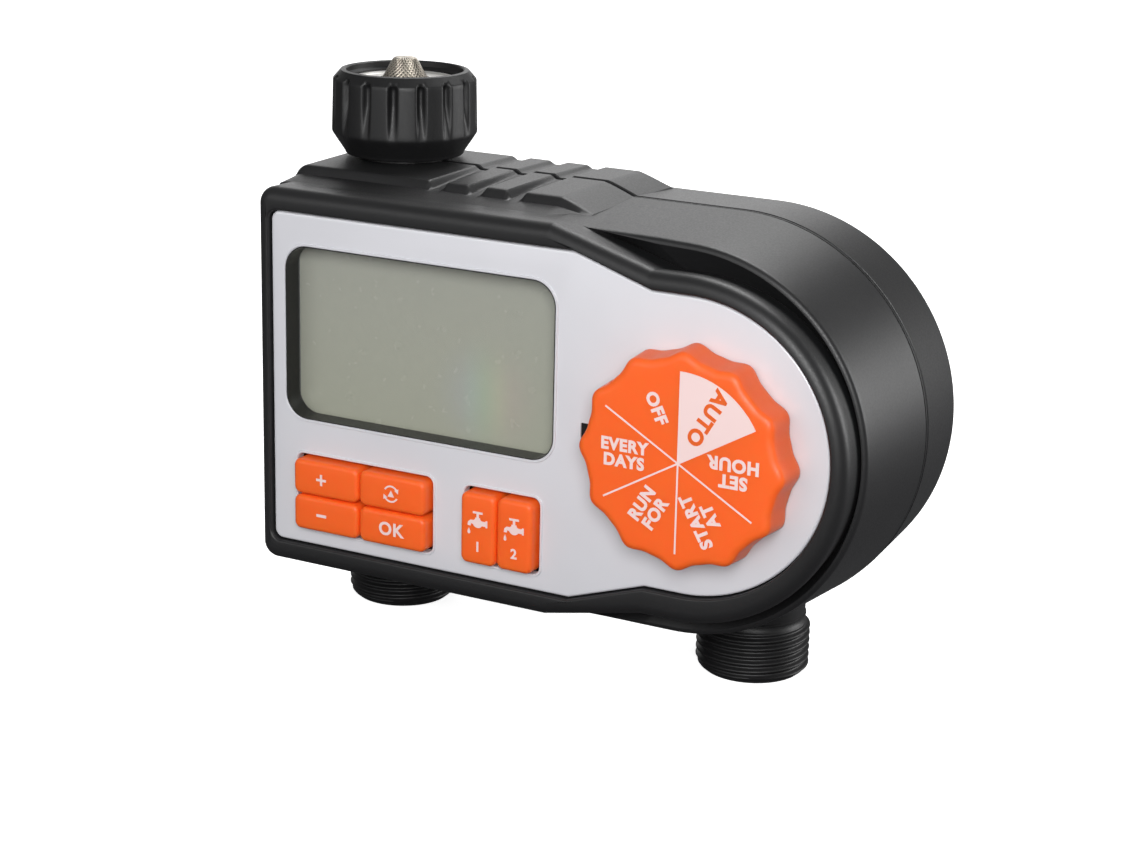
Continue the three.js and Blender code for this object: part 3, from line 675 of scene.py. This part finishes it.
def rearShellRows():
    seam, edge, back = casing["seam"], casing["rearEdge"], casing["back"]
    wall = casing["wall"]
    # a bead lies in the joint, with a narrow groove behind it
    rows = caseRows("rear", [(-wall, edge)])
    rows += caseRows("seam", [
        (-wall, seam - 0.3), (-0.2, seam - 0.3), (-0.08, seam - 0.18), (-0.08, seam + 0.18), (-0.2, seam + 0.3),
        (-1.2, seam + 0.3), (-1.2, seam + 0.6), (-0.3, seam + 0.6),
    ])
    corner = quarterRound((seam + 0.6, 0), (seam + 0.9, 0.3), 3)[1:]
    rows += caseRows("seam", [(-0.3 + g, y) for y, g in corner])
    rows += bandRows(caseLine("seam"), seam + 0.9, caseLine("rear"), edge, 7)
    rounding = quarterRound((edge, 0), (back, casing["rearRounding"]), 8)
    rows += [flatRow(caseLine("rear", -g), y) for y, g in rounding]
    # two more rows on the flat back keep the shading of its rounded edge off the middle
    return rows + caseRows("rear", [(-2.7, back), (-3.0, back)])


def makeRearShell():
    seam = casing["seam"] + casing["seamHalf"]
    depths = np.concatenate([
        [seam],
        np.linspace(seam + 0.3, 53.5, 10),
        block["rearEdge"] - block["rearFall"] * np.cos(np.linspace(0, np.pi / 2, 9)),
    ])
    rows = blockRows(depths, False, True)
    rows[0, :, 2] -= 0.25
    piece = rawMesh("rear_casing", [surface(rearShellRows(), caps=True)])
    back, past = casing["back"], casing["back"] + 1
    well = [(screws["well"], screws["wellFloor"]), (screws["well"], past)]
    cutAway(piece, [surface(facingGrid(well, x, z), caps=True) for x, z in screws["places"]])
    rebate = roundedOutline(backDoor["corners"], backDoor["rebate"])
    cutAway(piece, [slab(rebate, back - backDoor["rebateDepth"], past)])
    cutAway(piece, [slab(roundedOutline(backDoor["corners"]), back - 6, past)])
    # cups below the wells hold the screws' heads
    cups = [surface(facingGrid(screws["cup"], x, z), closeRows=True) for x, z in screws["places"]]
    joinParts(piece, [surface(rows, caps=True), *cups])
    finishPiece(piece, "casingAbs", "case", ["rear_shell"])


makeFrontShell()
makeRearShell()
print("casing made")


# Face panel
panel = {
    "thickness": 2.2, "edge": 0.7, "display": (-103, -32.5, -8.75, 31.85, 5.5),
    "fourKeys": (-100, -63.3, -35.5, -17.6, 1.6), "twoKeys": (-54.6, -35.4, -35.5, -17.9, 1.6),
    "pointer": (-25.3, -21.5, -1.7, 1.4, 0.1), "clear": 0.22, "lipWidth": 0.9, "lipHeight": 0.32,
}


def makePanel():
    thick, edge, clear = panel["thickness"], panel["edge"], panel["clear"]
    width, height = panel["lipWidth"], panel["lipHeight"]
    openings = [rectangle(*panel[name]) for name in ("display", "fourKeys", "twoKeys", "pointer")]
    rows = caseRows("panel", [(0, thick), (0, edge)])
    rows += [flatRow(caseLine("panel", -g), y) for y, g in quarterRound((edge, 0), (0, edge), 5)[1:]]
    piece = rawMesh("silver_panel", [surface(rows, caps=True)])
    for corners in openings:
        cutAway(piece, [slab(roundedOutline(corners, clear, 12), -1, thick + 1)])
    # a thin raised lip runs round each of the three large openings
    lip = [
        (width, 0.6), (width, -height * 0.3), (width - 0.15, -height),
        (clear + 0.2, -height), (clear + 0.05, -height * 0.5), (clear + 0.05, 0.6),
    ]
    joinParts(piece, [surface(cornerRows(corners, lip, 12), closeRows=True) for corners in openings[:3]])
    finishPiece(piece, "panelSilverPaint", "case", ["face_panel"])


makePanel()


def makeDisplayFrame():
    section = [
        (1.7, 2.5), (0.2, 2.5), (0.2, -0.1), (0.02, -0.1),
        (0.02, 4.95), (0.95, 4.95), (0.95, 11.1), (1.7, 11.1),
    ]
    walls = surface(cornerRows(rectangle(*panel["display"]), section, 12), closeRows=True)
    # a black chip fills the pointer notch beside the dial
    chip = slab(roundedOutline(rectangle(*panel["pointer"]), 0.15), 0.3, 3.0)
    makePiece("window_frame", [walls, chip], "frameBlackAbs", "case", ["display_frame"])


makeDisplayFrame()
print("face panel and window made")

# Dial
dial = {
    "x": 2.5, "z": -0.8, "front": -8.9, "rear": -0.5, "peak": 24.6, "valley": 23.1, "lobes": 12,
    "ridgePower": 1.9, "faceValley": 22.7, "faceSwing": 1.5, "rounding": 2.0, "fall": 1.4,
}


def makeDial():
    # The radius swings between valley and peak once for each lobe: a raised cosine to a power, which keeps the
    # ridges narrow and the hollows wide. Both grow evenly from the face to the skirt.
    angle = fullTurn(384)
    ridge = (0.5 + 0.5 * np.cos(angle * dial["lobes"])) ** dial["ridgePower"]
    front, rear, soft = dial["front"], dial["rear"], dial["rounding"]
    skirt = dial["valley"] + (dial["peak"] - dial["valley"]) * ridge
    top = dial["faceValley"] + dial["faceSwing"] * ridge
    edge = front + dial["fall"]
    rows = [(radius + 0 * angle, front) for radius in (0.0, 6.0, 12.0, 18.0, 20.0)]
    rows += [(top + g, y) for g, y in quarterRound((-soft, front), (0.0, edge), 8)]
    flank = np.linspace(0, 1, 8)[1:]
    rows += [(top + (skirt - top) * share, edge + (rear - 0.5 - edge) * share) for share in flank]
    rows += [(skirt - 0.15, rear - 0.15), (skirt - 0.5, rear), (skirt - 3.0, rear)]
    ray = np.stack([np.cos(angle), np.sin(angle)], axis=-1)
    grid = [flatRow((dial["x"], dial["z"]) + ray * np.reshape(radius, (-1, 1)), y) for radius, y in rows]
    makePiece(
        "dial_cap", [surface(grid, capLast=True)], "keyOrangeAbs", "dial", ["dial_knob"],
        sharp=40,
    )


makeDial()


# Print: thin shapes that stand a hair proud of the plastic
inkHeight = 0.04


def rotated(points, degrees):
    turn = math.radians(degrees)
    points = np.asarray(points)
    return np.stack([
        points[..., 0] * math.cos(turn) - points[..., 1] * math.sin(turn),
        points[..., 0] * math.sin(turn) + points[..., 1] * math.cos(turn),
    ], axis=-1)


def inkShape(outline, x, z, y):
    return slab(np.asarray(outline) + (x, z), y - inkHeight, y + 0.02)


def wordShape(word, size, x, z, y, degrees=0.0, weight=0.03):
    # a word as a mesh, centred on x, z, turned about the line of sight
    curve = bpy.data.curves.new("word", "FONT")
    curve.body = word
    curve.size = size
    curve.align_x = "CENTER"
    curve.align_y = "CENTER"
    curve.offset = weight * size
    curve.fill_mode = "FRONT"
    curve.space_line = 0.95
    curve.space_character = 1.1
    curve.extrude = inkHeight
    curve.resolution_u = 4
    holder = placeObject("word", curve)
    mesh = shapedMesh(holder)
    points = meshPoints(mesh)
    flat = rotated(points[:, :2], degrees)
    placed = np.stack([x + flat[:, 0], y - points[:, 2], z + flat[:, 1]], axis=-1)
    faces = [list(polygon.vertices) for polygon in mesh.polygons]
    bpy.data.objects.remove(holder)
    return placed, faces


dialPrint = {
    "lineAngles": (90, 30, -30, -90, -150, 150),
    "lineLength": 20.2,
    "lineWidth": 0.4,
    "sector": (30, 90),
    "sectorRise": 0.014,
    "sectorLabel": ("AUTO", 60, 12.6, 4.7),
    "labels": [
        ("OFF", 116, 12.6, 3.9),
        ("EVERY\nDAYS", 180, 12.8, 3.7),
        ("RUN\nFOR", 240, 12.9, 3.9),
        ("START\nAT", 300, 12.9, 3.9),
        ("SET\nHOUR", 0, 12.9, 3.9),
    ],
    "weight": 0.046,
}


def sector(first, last, radius, steps=24):
    angle = np.radians(np.linspace(first, last, steps))
    arc = radius * np.stack([np.cos(angle), np.sin(angle)], axis=-1)
    return np.concatenate([[[0.0, 0.0]], arc])


def dialWord(word, angle, reach, size, y):
    # the words' feet point to the rim
    turn = math.radians(angle)
    x, z = dial["x"] + reach * math.cos(turn), dial["z"] + reach * math.sin(turn)
    return wordShape(word, size, x, z, y, angle - 180, dialPrint["weight"])


def makeDialPrint():
    x, z, y = dial["x"], dial["z"], dial["front"]
    half, length = dialPrint["lineWidth"] / 2, dialPrint["lineLength"]
    line = np.array([(0, -half), (length, -half), (length, half), (0, half)])
    # each line stands a hair above the last, so that no two faces share a plane where they meet
    shapes = [
        inkShape(rotated(line, angle), x, z, y - 0.002 * step)
        for step, angle in enumerate(dialPrint["lineAngles"])
    ]
    shapes.append(inkShape(sector(*dialPrint["sector"], length), x, z, y - dialPrint["sectorRise"]))
    shapes += [dialWord(*label, y) for label in dialPrint["labels"]]
    makePiece("dial_print", shapes, "printInk", "dial", sharp=30)
    auto = dialWord(*dialPrint["sectorLabel"], y - inkHeight - dialPrint["sectorRise"])
    makePiece("dial_print_auto", [auto], "keyOrangeAbs", "dial", sharp=30)


makeDialPrint()
print("dial made")

# Keys
keys = {"corner": 1.7, "rounding": 1.05, "crown": 0.1, "front": -3.0, "rear": 3.9, "gap": 0.4}


def makeKey(name):
    # the cap is found from the opening it sits in: the CAD node's box is wider at its foot
    area = keyAreas[name]
    corners = rectangle(*area, keys["corner"])
    front, soft = keys["front"], keys["rounding"]
    rounding = [(g, y) for y, g in quarterRound((front + soft, 0), (front, -soft), 6)]
    rows = cornerRows(corners, [(0, keys["rear"]), *rounding])
    middle = np.array([(area[0] + area[1]) / 2, (area[2] + area[3]) / 2])
    inner = roundedOutline(corners, -soft)
    for share in (0.75, 0.5, 0.25, 0.0):
        rows.append(flatRow(middle + (inner - middle) * share, front - keys["crown"] * (1 - share ** 2)))
    makePiece(name + "_cap", [surface(rows, capFirst=True)], "keyOrangeAbs", name, [name])


keyAreas = {}


def placeKeys():
    # the keys fill their opening, with the same gap round each
    gap = keys["gap"]
    layout = {
        "fourKeys": (("key_minus", "key_ok"), ("key_plus", "key_cycle")),
        "twoKeys": (("key_valve_1", "key_valve_2"),),
    }
    for opening, rows in layout.items():
        x0, x1, z0, z1 = panel[opening][:4]
        wide, tall = (x1 - x0 - 3 * gap) / 2, (z1 - z0 - (len(rows) + 1) * gap) / len(rows)
        for up, row in enumerate(rows):
            for right, name in enumerate(row):
                keyLeft, keyLow = x0 + gap + right * (wide + gap), z0 + gap + up * (tall + gap)
                keyAreas[name] = (keyLeft, keyLeft + wide, keyLow, keyLow + tall)


placeKeys()
for name in keyAreas:
    makeKey(name)


def bar(x0, x1, z0, z1):
    return np.array([(x0, z0), (x1, z0), (x1, z1), (x0, z1)])


def ringArc(radius, width, first, last, steps=16):
    angle = np.radians(np.linspace(first, last, steps))
    ray = np.stack([np.cos(angle), np.sin(angle)], axis=-1)
    return np.concatenate([ray * (radius + width / 2), (ray * (radius - width / 2))[::-1]])


def dropShape(x, z, size, steps=20):
    # a drop: a circle drawn up into a point
    t = fullTurn(steps)
    across = np.sin(t) * np.sin(t / 2) ** 1.5
    return np.stack([x + across * size * 0.62, z + size * 0.9 * np.cos(t)], axis=-1)


def discShape(radius, steps=28):
    # a disc that is a little flattened
    angle = fullTurn(steps)
    return radius * np.stack([np.cos(angle), 0.86 * np.sin(angle)], axis=-1)


keyPrint = {
    "plus": [bar(-1.35, 1.35, -0.3, 0.3), bar(-0.3, 0.3, -1.35, 1.35)],
    "minus": [bar(-1.35, 1.35, -0.35, 0.35)],
    "signShift": -1,
    "wordSize": 4.3,
    "ring": 1.85,
    "ringWidth": 0.4,
    "head": np.array([(0, 0.75), (-0.75, -0.6), (0.75, -0.6)]),
    # a garden tap seen from the side: handle, neck, collar, spout to the left, round body, tail and a drop
    "tap": [
        bar(-1.45, 1.45, 2.6, 3.2),
        bar(-0.35, 0.35, 1.0, 2.7),
        bar(-0.75, 0.75, 0.9, 1.5),
        np.array([
            (-0.9, 0.75), (-2.2, 0.7), (-2.9, 0.1), (-3.0, -0.9),
            (-2.1, -0.9), (-2.0, -0.2), (-1.5, -0.35), (-0.6, -0.6),
        ]),
        discShape(1.45),
        bar(1.1, 2.5, -0.55, 0.75),
        bar(2.4, 2.95, -0.85, 1.05),
        dropShape(-2.6, -2.35, 0.95),
    ],
    "tapSize": 0.86,
    "numberSize": 3.2,
}


def printKey(name, shapes):
    makePiece(name + "_print", shapes, "printInk", name)


def keyMiddle(name):
    x0, x1, z0, z1 = keyAreas[name]
    return (x0 + x1) / 2, (z0 + z1) / 2


def makeKeyPrints():
    # shapes that cross stand a hair above each other, as the dial's lines do
    y = keys["front"] - keys["crown"]
    for sign in ("plus", "minus"):
        x, z = keyMiddle("key_" + sign)
        x += keyPrint["signShift"]
        shapes = [inkShape(part, x, z, y - 0.005 * step) for step, part in enumerate(keyPrint[sign])]
        printKey("key_" + sign, shapes)
    printKey("key_ok", [wordShape("OK", keyPrint["wordSize"], *keyMiddle("key_ok"), y)])
    x, z = keyMiddle("key_cycle")
    radius, head = keyPrint["ring"], keyPrint["head"]
    arcs = [ringArc(radius, keyPrint["ringWidth"], first, first + 125) for first in (25, 205)]
    cycle = [inkShape(arc, x, z, y) for arc in arcs]
    for angle in (25, 205):
        turn = math.radians(angle)
        tip = radius * np.array([math.cos(turn), math.sin(turn)])
        cycle.append(inkShape(rotated(head * 0.8, angle + 180) + tip, x, z, y - 0.004))
    cycle.append(inkShape(head * 1.15, x, z, y))
    printKey("key_cycle", cycle)
    for number in (1, 2):
        name = f"key_valve_{number}"
        x, z = keyMiddle(name)
        x += 0.2
        tap = [part * keyPrint["tapSize"] for part in keyPrint["tap"]]
        shapes = [inkShape(part, x, z + 1.6, y - 0.003 * step) for step, part in enumerate(tap)]
        printKey(name, [*shapes, wordShape(str(number), keyPrint["numberSize"], x, z - 4.1, y)])


makeKeyPrints()
print("keys made")

# Inlet nut
inlet = {"x": -94.8, "y": 38.0}
nut = {
    "low": 48.6, "high": 68.6, "radius": 17.3, "shoulder": 66.6, "opening": 13.9, "flutes": 16,
    "fluteDepth": 1.5, "fluteWidth": 0.95, "sides": 384,
}


def makeNut():
    # A turned profile whose side is pressed in by narrow flutes that are deep at the top and die out below
    low, high, radius = nut["low"], nut["high"], nut["radius"]
    profile = [(10.95, low), (13.6, low)]
    profile += quarterRound((13.6, low), (14.2, low + 0.6), 3)[1:]
    shoulder = nut["shoulder"]
    profile += [(14.3 + (radius - 14.5) * share, low + 0.8 + 4.2 * share) for share in np.linspace(0, 1, 6)]
    profile += [(radius - 0.04, low + 5.35)]
    side = np.linspace(0, 1, 18)
    profile += [(radius - 0.3 * share, low + 5.8 + (shoulder - low - 6.2) * share) for share in side]
    profile += [(radius - 0.36, shoulder - 0.15), (radius - 0.5, shoulder + 0.05)]
    profile += [(radius - 0.5 - 1.6 * share, shoulder + 0.05 + 1.8 * share) for share in np.linspace(0.1, 1, 4)]
    profile += [(nut["opening"] + 0.35, high), (nut["opening"], high - 0.3), (nut["opening"], high - 1.4)]
    profile += [(13.3, high - 2.0), (13.3, 58.9), (10.95, 58.9)]
    profile = np.array(profile)
    angle = fullTurn(nut["sides"])
    pitch = 2 * np.pi / nut["flutes"]
    away = np.abs((angle + pitch / 2) % pitch - pitch / 2) * radius
    notch = np.exp(-(away / nut["fluteWidth"]) ** 4)
    outside = (profile[:, 0] > nut["opening"] + 1) & (profile[:, 1] > low + 1)
    fade = np.clip((nut["shoulder"] + 0.7 - profile[:, 1]) / 1.2, 0, 1)
    depth = np.clip((profile[:, 1] - low - 4.5) / 9.0, 0, 1) * fade * nut["fluteDepth"] * outside
    pressed = profile[:, :1] - depth[:, None] * notch[None, :]
    grid = carryRound(pressed, profile[:, 1:], inlet["x"], inlet["y"])
    makePiece(
        "ribbed_nut", [surface(grid, closeRows=True)], "fittingPolypropylene", "inlet_nut",
        ["inlet_nut"], sharp=38,
    )


makeNut()


def makeFilter():
    # the pressed rim is a thin ring with a rolled edge
    x, y = inlet["x"], inlet["y"]
    z0, z1 = (corner[2] for corner in faceBox("filter_rim"))
    rim = [(6.2, z0 + 0.02), (12.65, z0 + 0.02), (12.65, z1 - 0.3), (12.3, z1), (11.6, z1), (11.3, z1 - 0.35),
           (7.4, z1 - 0.35), (6.9, z1), (6.2, z1)]
    makePiece(
        "filter_ring", [surface(turnedGrid(rim, x, y), closeRows=True)], "rolledSteel", "case",
        ["filter_rim"],
    )
    base, top = (corner[2] for corner in faceBox("filter_screen"))
    cone = [(5.4, base), (5.9, base)]
    cone += [(5.85 - 2.85 * t, base + (top - base - 0.6) * t) for t in np.linspace(0.05, 1, 14)]
    cone += [(2.75, top - 0.25), (2.3, top - 0.06), (1.2, top - 0.01), (0.0, top)]
    piece = rawMesh("filter_cone", [surface(turnedGrid(cone, x, y), capFirst=True)])
    # the weave's map: the distance round the cone at its mean radius, and the height
    layer = piece.data.uv_layers.new(name="weave")
    points = meshPoints(piece.data) - toScene((x, y, 0))
    corner = np.empty(len(piece.data.loops), dtype=int)
    piece.data.loops.foreach_get("vertex_index", corner)
    around = np.arctan2(points[:, 1], points[:, 0])[corner]
    owner = np.repeat(np.arange(len(piece.data.polygons)), [p.loop_total for p in piece.data.polygons])
    highest = np.full(len(piece.data.polygons), -9.0)
    np.maximum.at(highest, owner, around)
    around = np.where(highest[owner] - around > np.pi, around + 2 * np.pi, around)
    meanRadius = 0.0045
    uv = np.stack([around * meanRadius, points[corner, 2]], axis=-1)
    layer.data.foreach_set("uv", uv.ravel())
    finishPiece(piece, "stainlessWireCloth", "case", ["filter_screen"], sharp=60)


makeFilter()
print("nut and filter made")

# Outlets
outlet = {
    "bottom": -62.7, "thread": 13.22, "root": 12.3, "pitch": 1.814, "neck": 11.9, "bore": 9.0,
    "threadTop": -50.4, "places": (-94.8, 1.2),
}


def makeOutlet(number):
    # a helix: the crest's height is shifted by one pitch for each turn about the axis
    x, y = outlet["places"][number - 1], inlet["y"]
    sides, bottom = 144, outlet["bottom"]
    turn = fullTurn(sides)
    z = np.linspace(bottom + 0.9, outlet["threadTop"], 84)[:, None]
    phase = (z - bottom) / outlet["pitch"] - turn / (2 * np.pi)
    tooth = 0.5 + 0.5 * np.cos(2 * np.pi * phase)
    start = np.clip((z - bottom - 0.9) / 0.8, 0, 1) * np.clip((outlet["threadTop"] - z) / 1.0, 0, 1)
    radius = outlet["root"] + (outlet["thread"] - outlet["root"]) * tooth * start
    threaded = carryRound(radius, z, x, y)
    below = turnedGrid([(outlet["bore"], bottom), (11.4, bottom), (outlet["root"], bottom + 0.75)], x, y, sides)
    neck, top = outlet["neck"], outlet["threadTop"]
    above = turnedGrid(
        [(neck + 0.05, top + 0.3), (neck, top + 1.4), (neck + 0.25, top + 1.6), (neck + 0.25, top + 1.9),
         (neck, top + 2.1), (neck, -40.8), (7.4, -40.8), (7.4, -43), (outlet["bore"], -45)], x, y, sides,
    )
    grid = np.concatenate([below, threaded, above])
    makePiece(
        f"outlet_thread_{number}", [surface(grid, closeRows=True)], "fittingPolypropylene", "case",
        [f"outlet_spigot_{number}"], sharp=50,
    )


for number in (1, 2):
    makeOutlet(number)
print("outlets made")


# Battery door
def makeDoor():
    # a plug under a flange with a rounded edge; a finger grip is cut into its back
    back, flange, plug = casing["back"], backDoor["flange"], backDoor["plug"]
    rear = back - backDoor["flangeRear"]
    rounding = [(flange - g, y) for y, g in quarterRound((back - 0.6, 0), (back - 0.05, 0.5), 4)]
    rows = cornerRows(backDoor["corners"], [(plug, back - 4), (plug, rear), (flange, rear), *rounding])
    piece = rawMesh("cell_door", [surface(rows, caps=True)])
    cutAway(piece, [slab(roundedOutline(backDoor["grip"]), back - 0.9, back + 1)])
    finishPiece(piece, "casingAbs", "battery_door", ["battery_door"])


makeDoor()

# Plunger springs: each coil runs from the case at one end to its plunger at the other
spring = {"radius": 1.5, "wire": 0.25, "turns": 5, "steps": 120, "sides": 8}


def makeSpring(number):
    # a helix round the plunger's axis: the wire's ring is set out along the radius and along the axis
    name, plunger = f"plunger_spring_{number}", f"plunger_{number}"
    low, high = faceBox(name)
    plungerLow, plungerHigh = faceBox(plunger)
    wire = spring["wire"]
    nearPlunger, nearCase = low[0] + wire, high[0] - wire
    if plungerLow[0] + plungerHigh[0] > low[0] + high[0]:
        nearPlunger, nearCase = nearCase, nearPlunger
    middle = (low + high) / 2
    share = np.linspace(0, 1, spring["steps"])[:, None]
    turn = 2 * np.pi * spring["turns"] * share
    around = fullTurn(spring["sides"])
    reach = spring["radius"] + wire * np.cos(around)
    grid = np.stack([
        nearPlunger + (nearCase - nearPlunger) * share + wire * np.sin(around),
        middle[1] + reach * np.cos(turn),
        middle[2] + reach * np.sin(turn),
    ], axis=-1)
    piece = rawMesh(f"spring_{number}", [surface(grid, caps=True)])
    piece.data.materials.append(finishes["rolledSteel"])
    piece.data.shade_smooth()
    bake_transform(piece)
    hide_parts(name)


for number in (1, 2):
    makeSpring(number)
print("door and springs made")

# CAD nodes that keep their shape get their real finish
kept = {
    "clearAcrylic": ["display_lens"],
    "crystalDisplay": ["display_glass"],
    "sealRubber": [
        "display_connector", "inlet_washer", "outlet_seal_1", "outlet_seal_2", "diaphragm_1", "diaphragm_2",
        "door_seal",
    ],
    "rolledSteel": ["dial_shaft", "plunger_1", "plunger_2"],
    "frameBlackAbs": [
        "rotary_switch", "control_chip", "solenoid_1", "solenoid_2", "battery_tray",
        *(name.replace("key", "switch") for name in keyAreas),
    ],
    "solderMask": ["control_board"],
    "waterWayAcetal": ["valve_body"],
    "fittingPolypropylene": ["inlet_spout"],
    "cellSleeve": ["battery_1", "battery_2"],
    "nickelPlate": ["contact_left", "contact_right"],
    "zincPlate": [f"case_screw_{number}" for number in range(1, 7)],
}
for finish, names in kept.items():
    for name in names:
        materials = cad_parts[name].data.materials
        for place in range(len(materials)):
            materials[place] = finishes[finish]
print("kept nodes finished")

# Floor, lights and background
studio = {
    "floorSize": 6.0,
    "world": 0.16,
    "floorGlow": 0.75,
    "floorBounce": "#626264",
    "key": {"at": (0.3, -0.62, 0.34), "size": 0.4, "power": 4.7},
    "fill": {"at": (-0.4, -0.9, 0.35), "size": 0.8, "power": 2.2},
    "side": {"at": (0.8, 0.56, 0.22), "size": 0.6, "power": 5.8},
    "top": {"at": (-0.05, 0.55, 0.85), "size": 0.6, "power": 5.2},
    "back": {"at": (-0.8, 1.3, 0.42), "size": 1.2, "power": 5.0},
}


def addFloor():
    half = studio["floorSize"] / 2
    mesh = bpy.data.meshes.new("floor")
    corners = [(-half, -half, 0), (half, -half, 0), (half, half, 0), (-half, half, 0)]
    mesh.from_pydata(corners, [], [(0, 1, 2, 3)])
    floor = placeObject("floor", mesh)
    # seamless studio paper, matt and white
    material, tree, coords, shader = newMaterial("studioPaper")
    fibre = addNode(tree, "TexNoise", {"Scale": perMetre(2)}, {"Vector": coords.outputs["Object"]})
    tone = addNode(
        tree, "Mix", {"data_type": "RGBA", 6: linear("#fdfdfd"), 7: linear("#fafafa")},
        {0: fibre.outputs["Fac"]},
    )
    # it is seen lit from below, as a light table is, but it throws only a dim light on the timer
    setNode(tree, shader, {
        "Roughness": 0.9, "Specular IOR Level": 0.1,
        "Emission Color": linear("#ffffff"), "Emission Strength": studio["floorGlow"],
    }, {"Base Color": tone.outputs[2]})
    dim = addNode(tree, "BsdfDiffuse", {"Color": linear(studio["floorBounce"])})
    path = addNode(tree, "LightPath")
    both = addNode(
        tree, "MixShader",
        links={0: path.outputs["Is Camera Ray"], 1: dim.outputs["BSDF"], 2: shader.outputs["BSDF"]},
    )
    output = next(node for node in tree.nodes if node.type == "OUTPUT_MATERIAL")
    tree.links.new(both.outputs["Shader"], output.inputs["Surface"])
    mesh.materials.append(material)


def addLight(name):
    spec = studio[name]
    data = bpy.data.lights.new(name, "AREA")
    data.shape = "DISK"
    data.size = spec["size"]
    data.energy = spec["power"]
    light = placeObject(name, data)
    light.location = spec["at"]
    aim = toScene((-25, 20, 0)) - np.array(spec["at"])
    light.rotation_mode = "QUATERNION"
    light.rotation_quaternion = Vector(aim.tolist()).to_track_quat("-Z", "Y")


def addWorld():
    world = bpy.data.worlds.new("studio")
    world.use_nodes = True
    tree = world.node_tree
    tree.nodes.clear()
    # the backdrop past the floor's edge is seen white and lights the object only faintly
    light = addNode(tree, "Background", {"Color": linear("#ffffff"), "Strength": studio["world"]})
    seen = addNode(tree, "Background", {"Color": linear("#ffffff"), "Strength": 1.0})
    path = addNode(tree, "LightPath")
    mix = addNode(tree, "MixShader", links={0: path.outputs["Is Camera Ray"],
                                                      1: light.outputs[0], 2: seen.outputs[0]})
    addNode(tree, "OutputWorld", links={"Surface": mix.outputs[0]})
    bpy.context.scene.world = world


addFloor()
for name in ("key", "fill", "side", "top", "back"):
    addLight(name)
addWorld()
bpy.context.scene.view_settings.view_transform = "Standard"
print("studio lit")
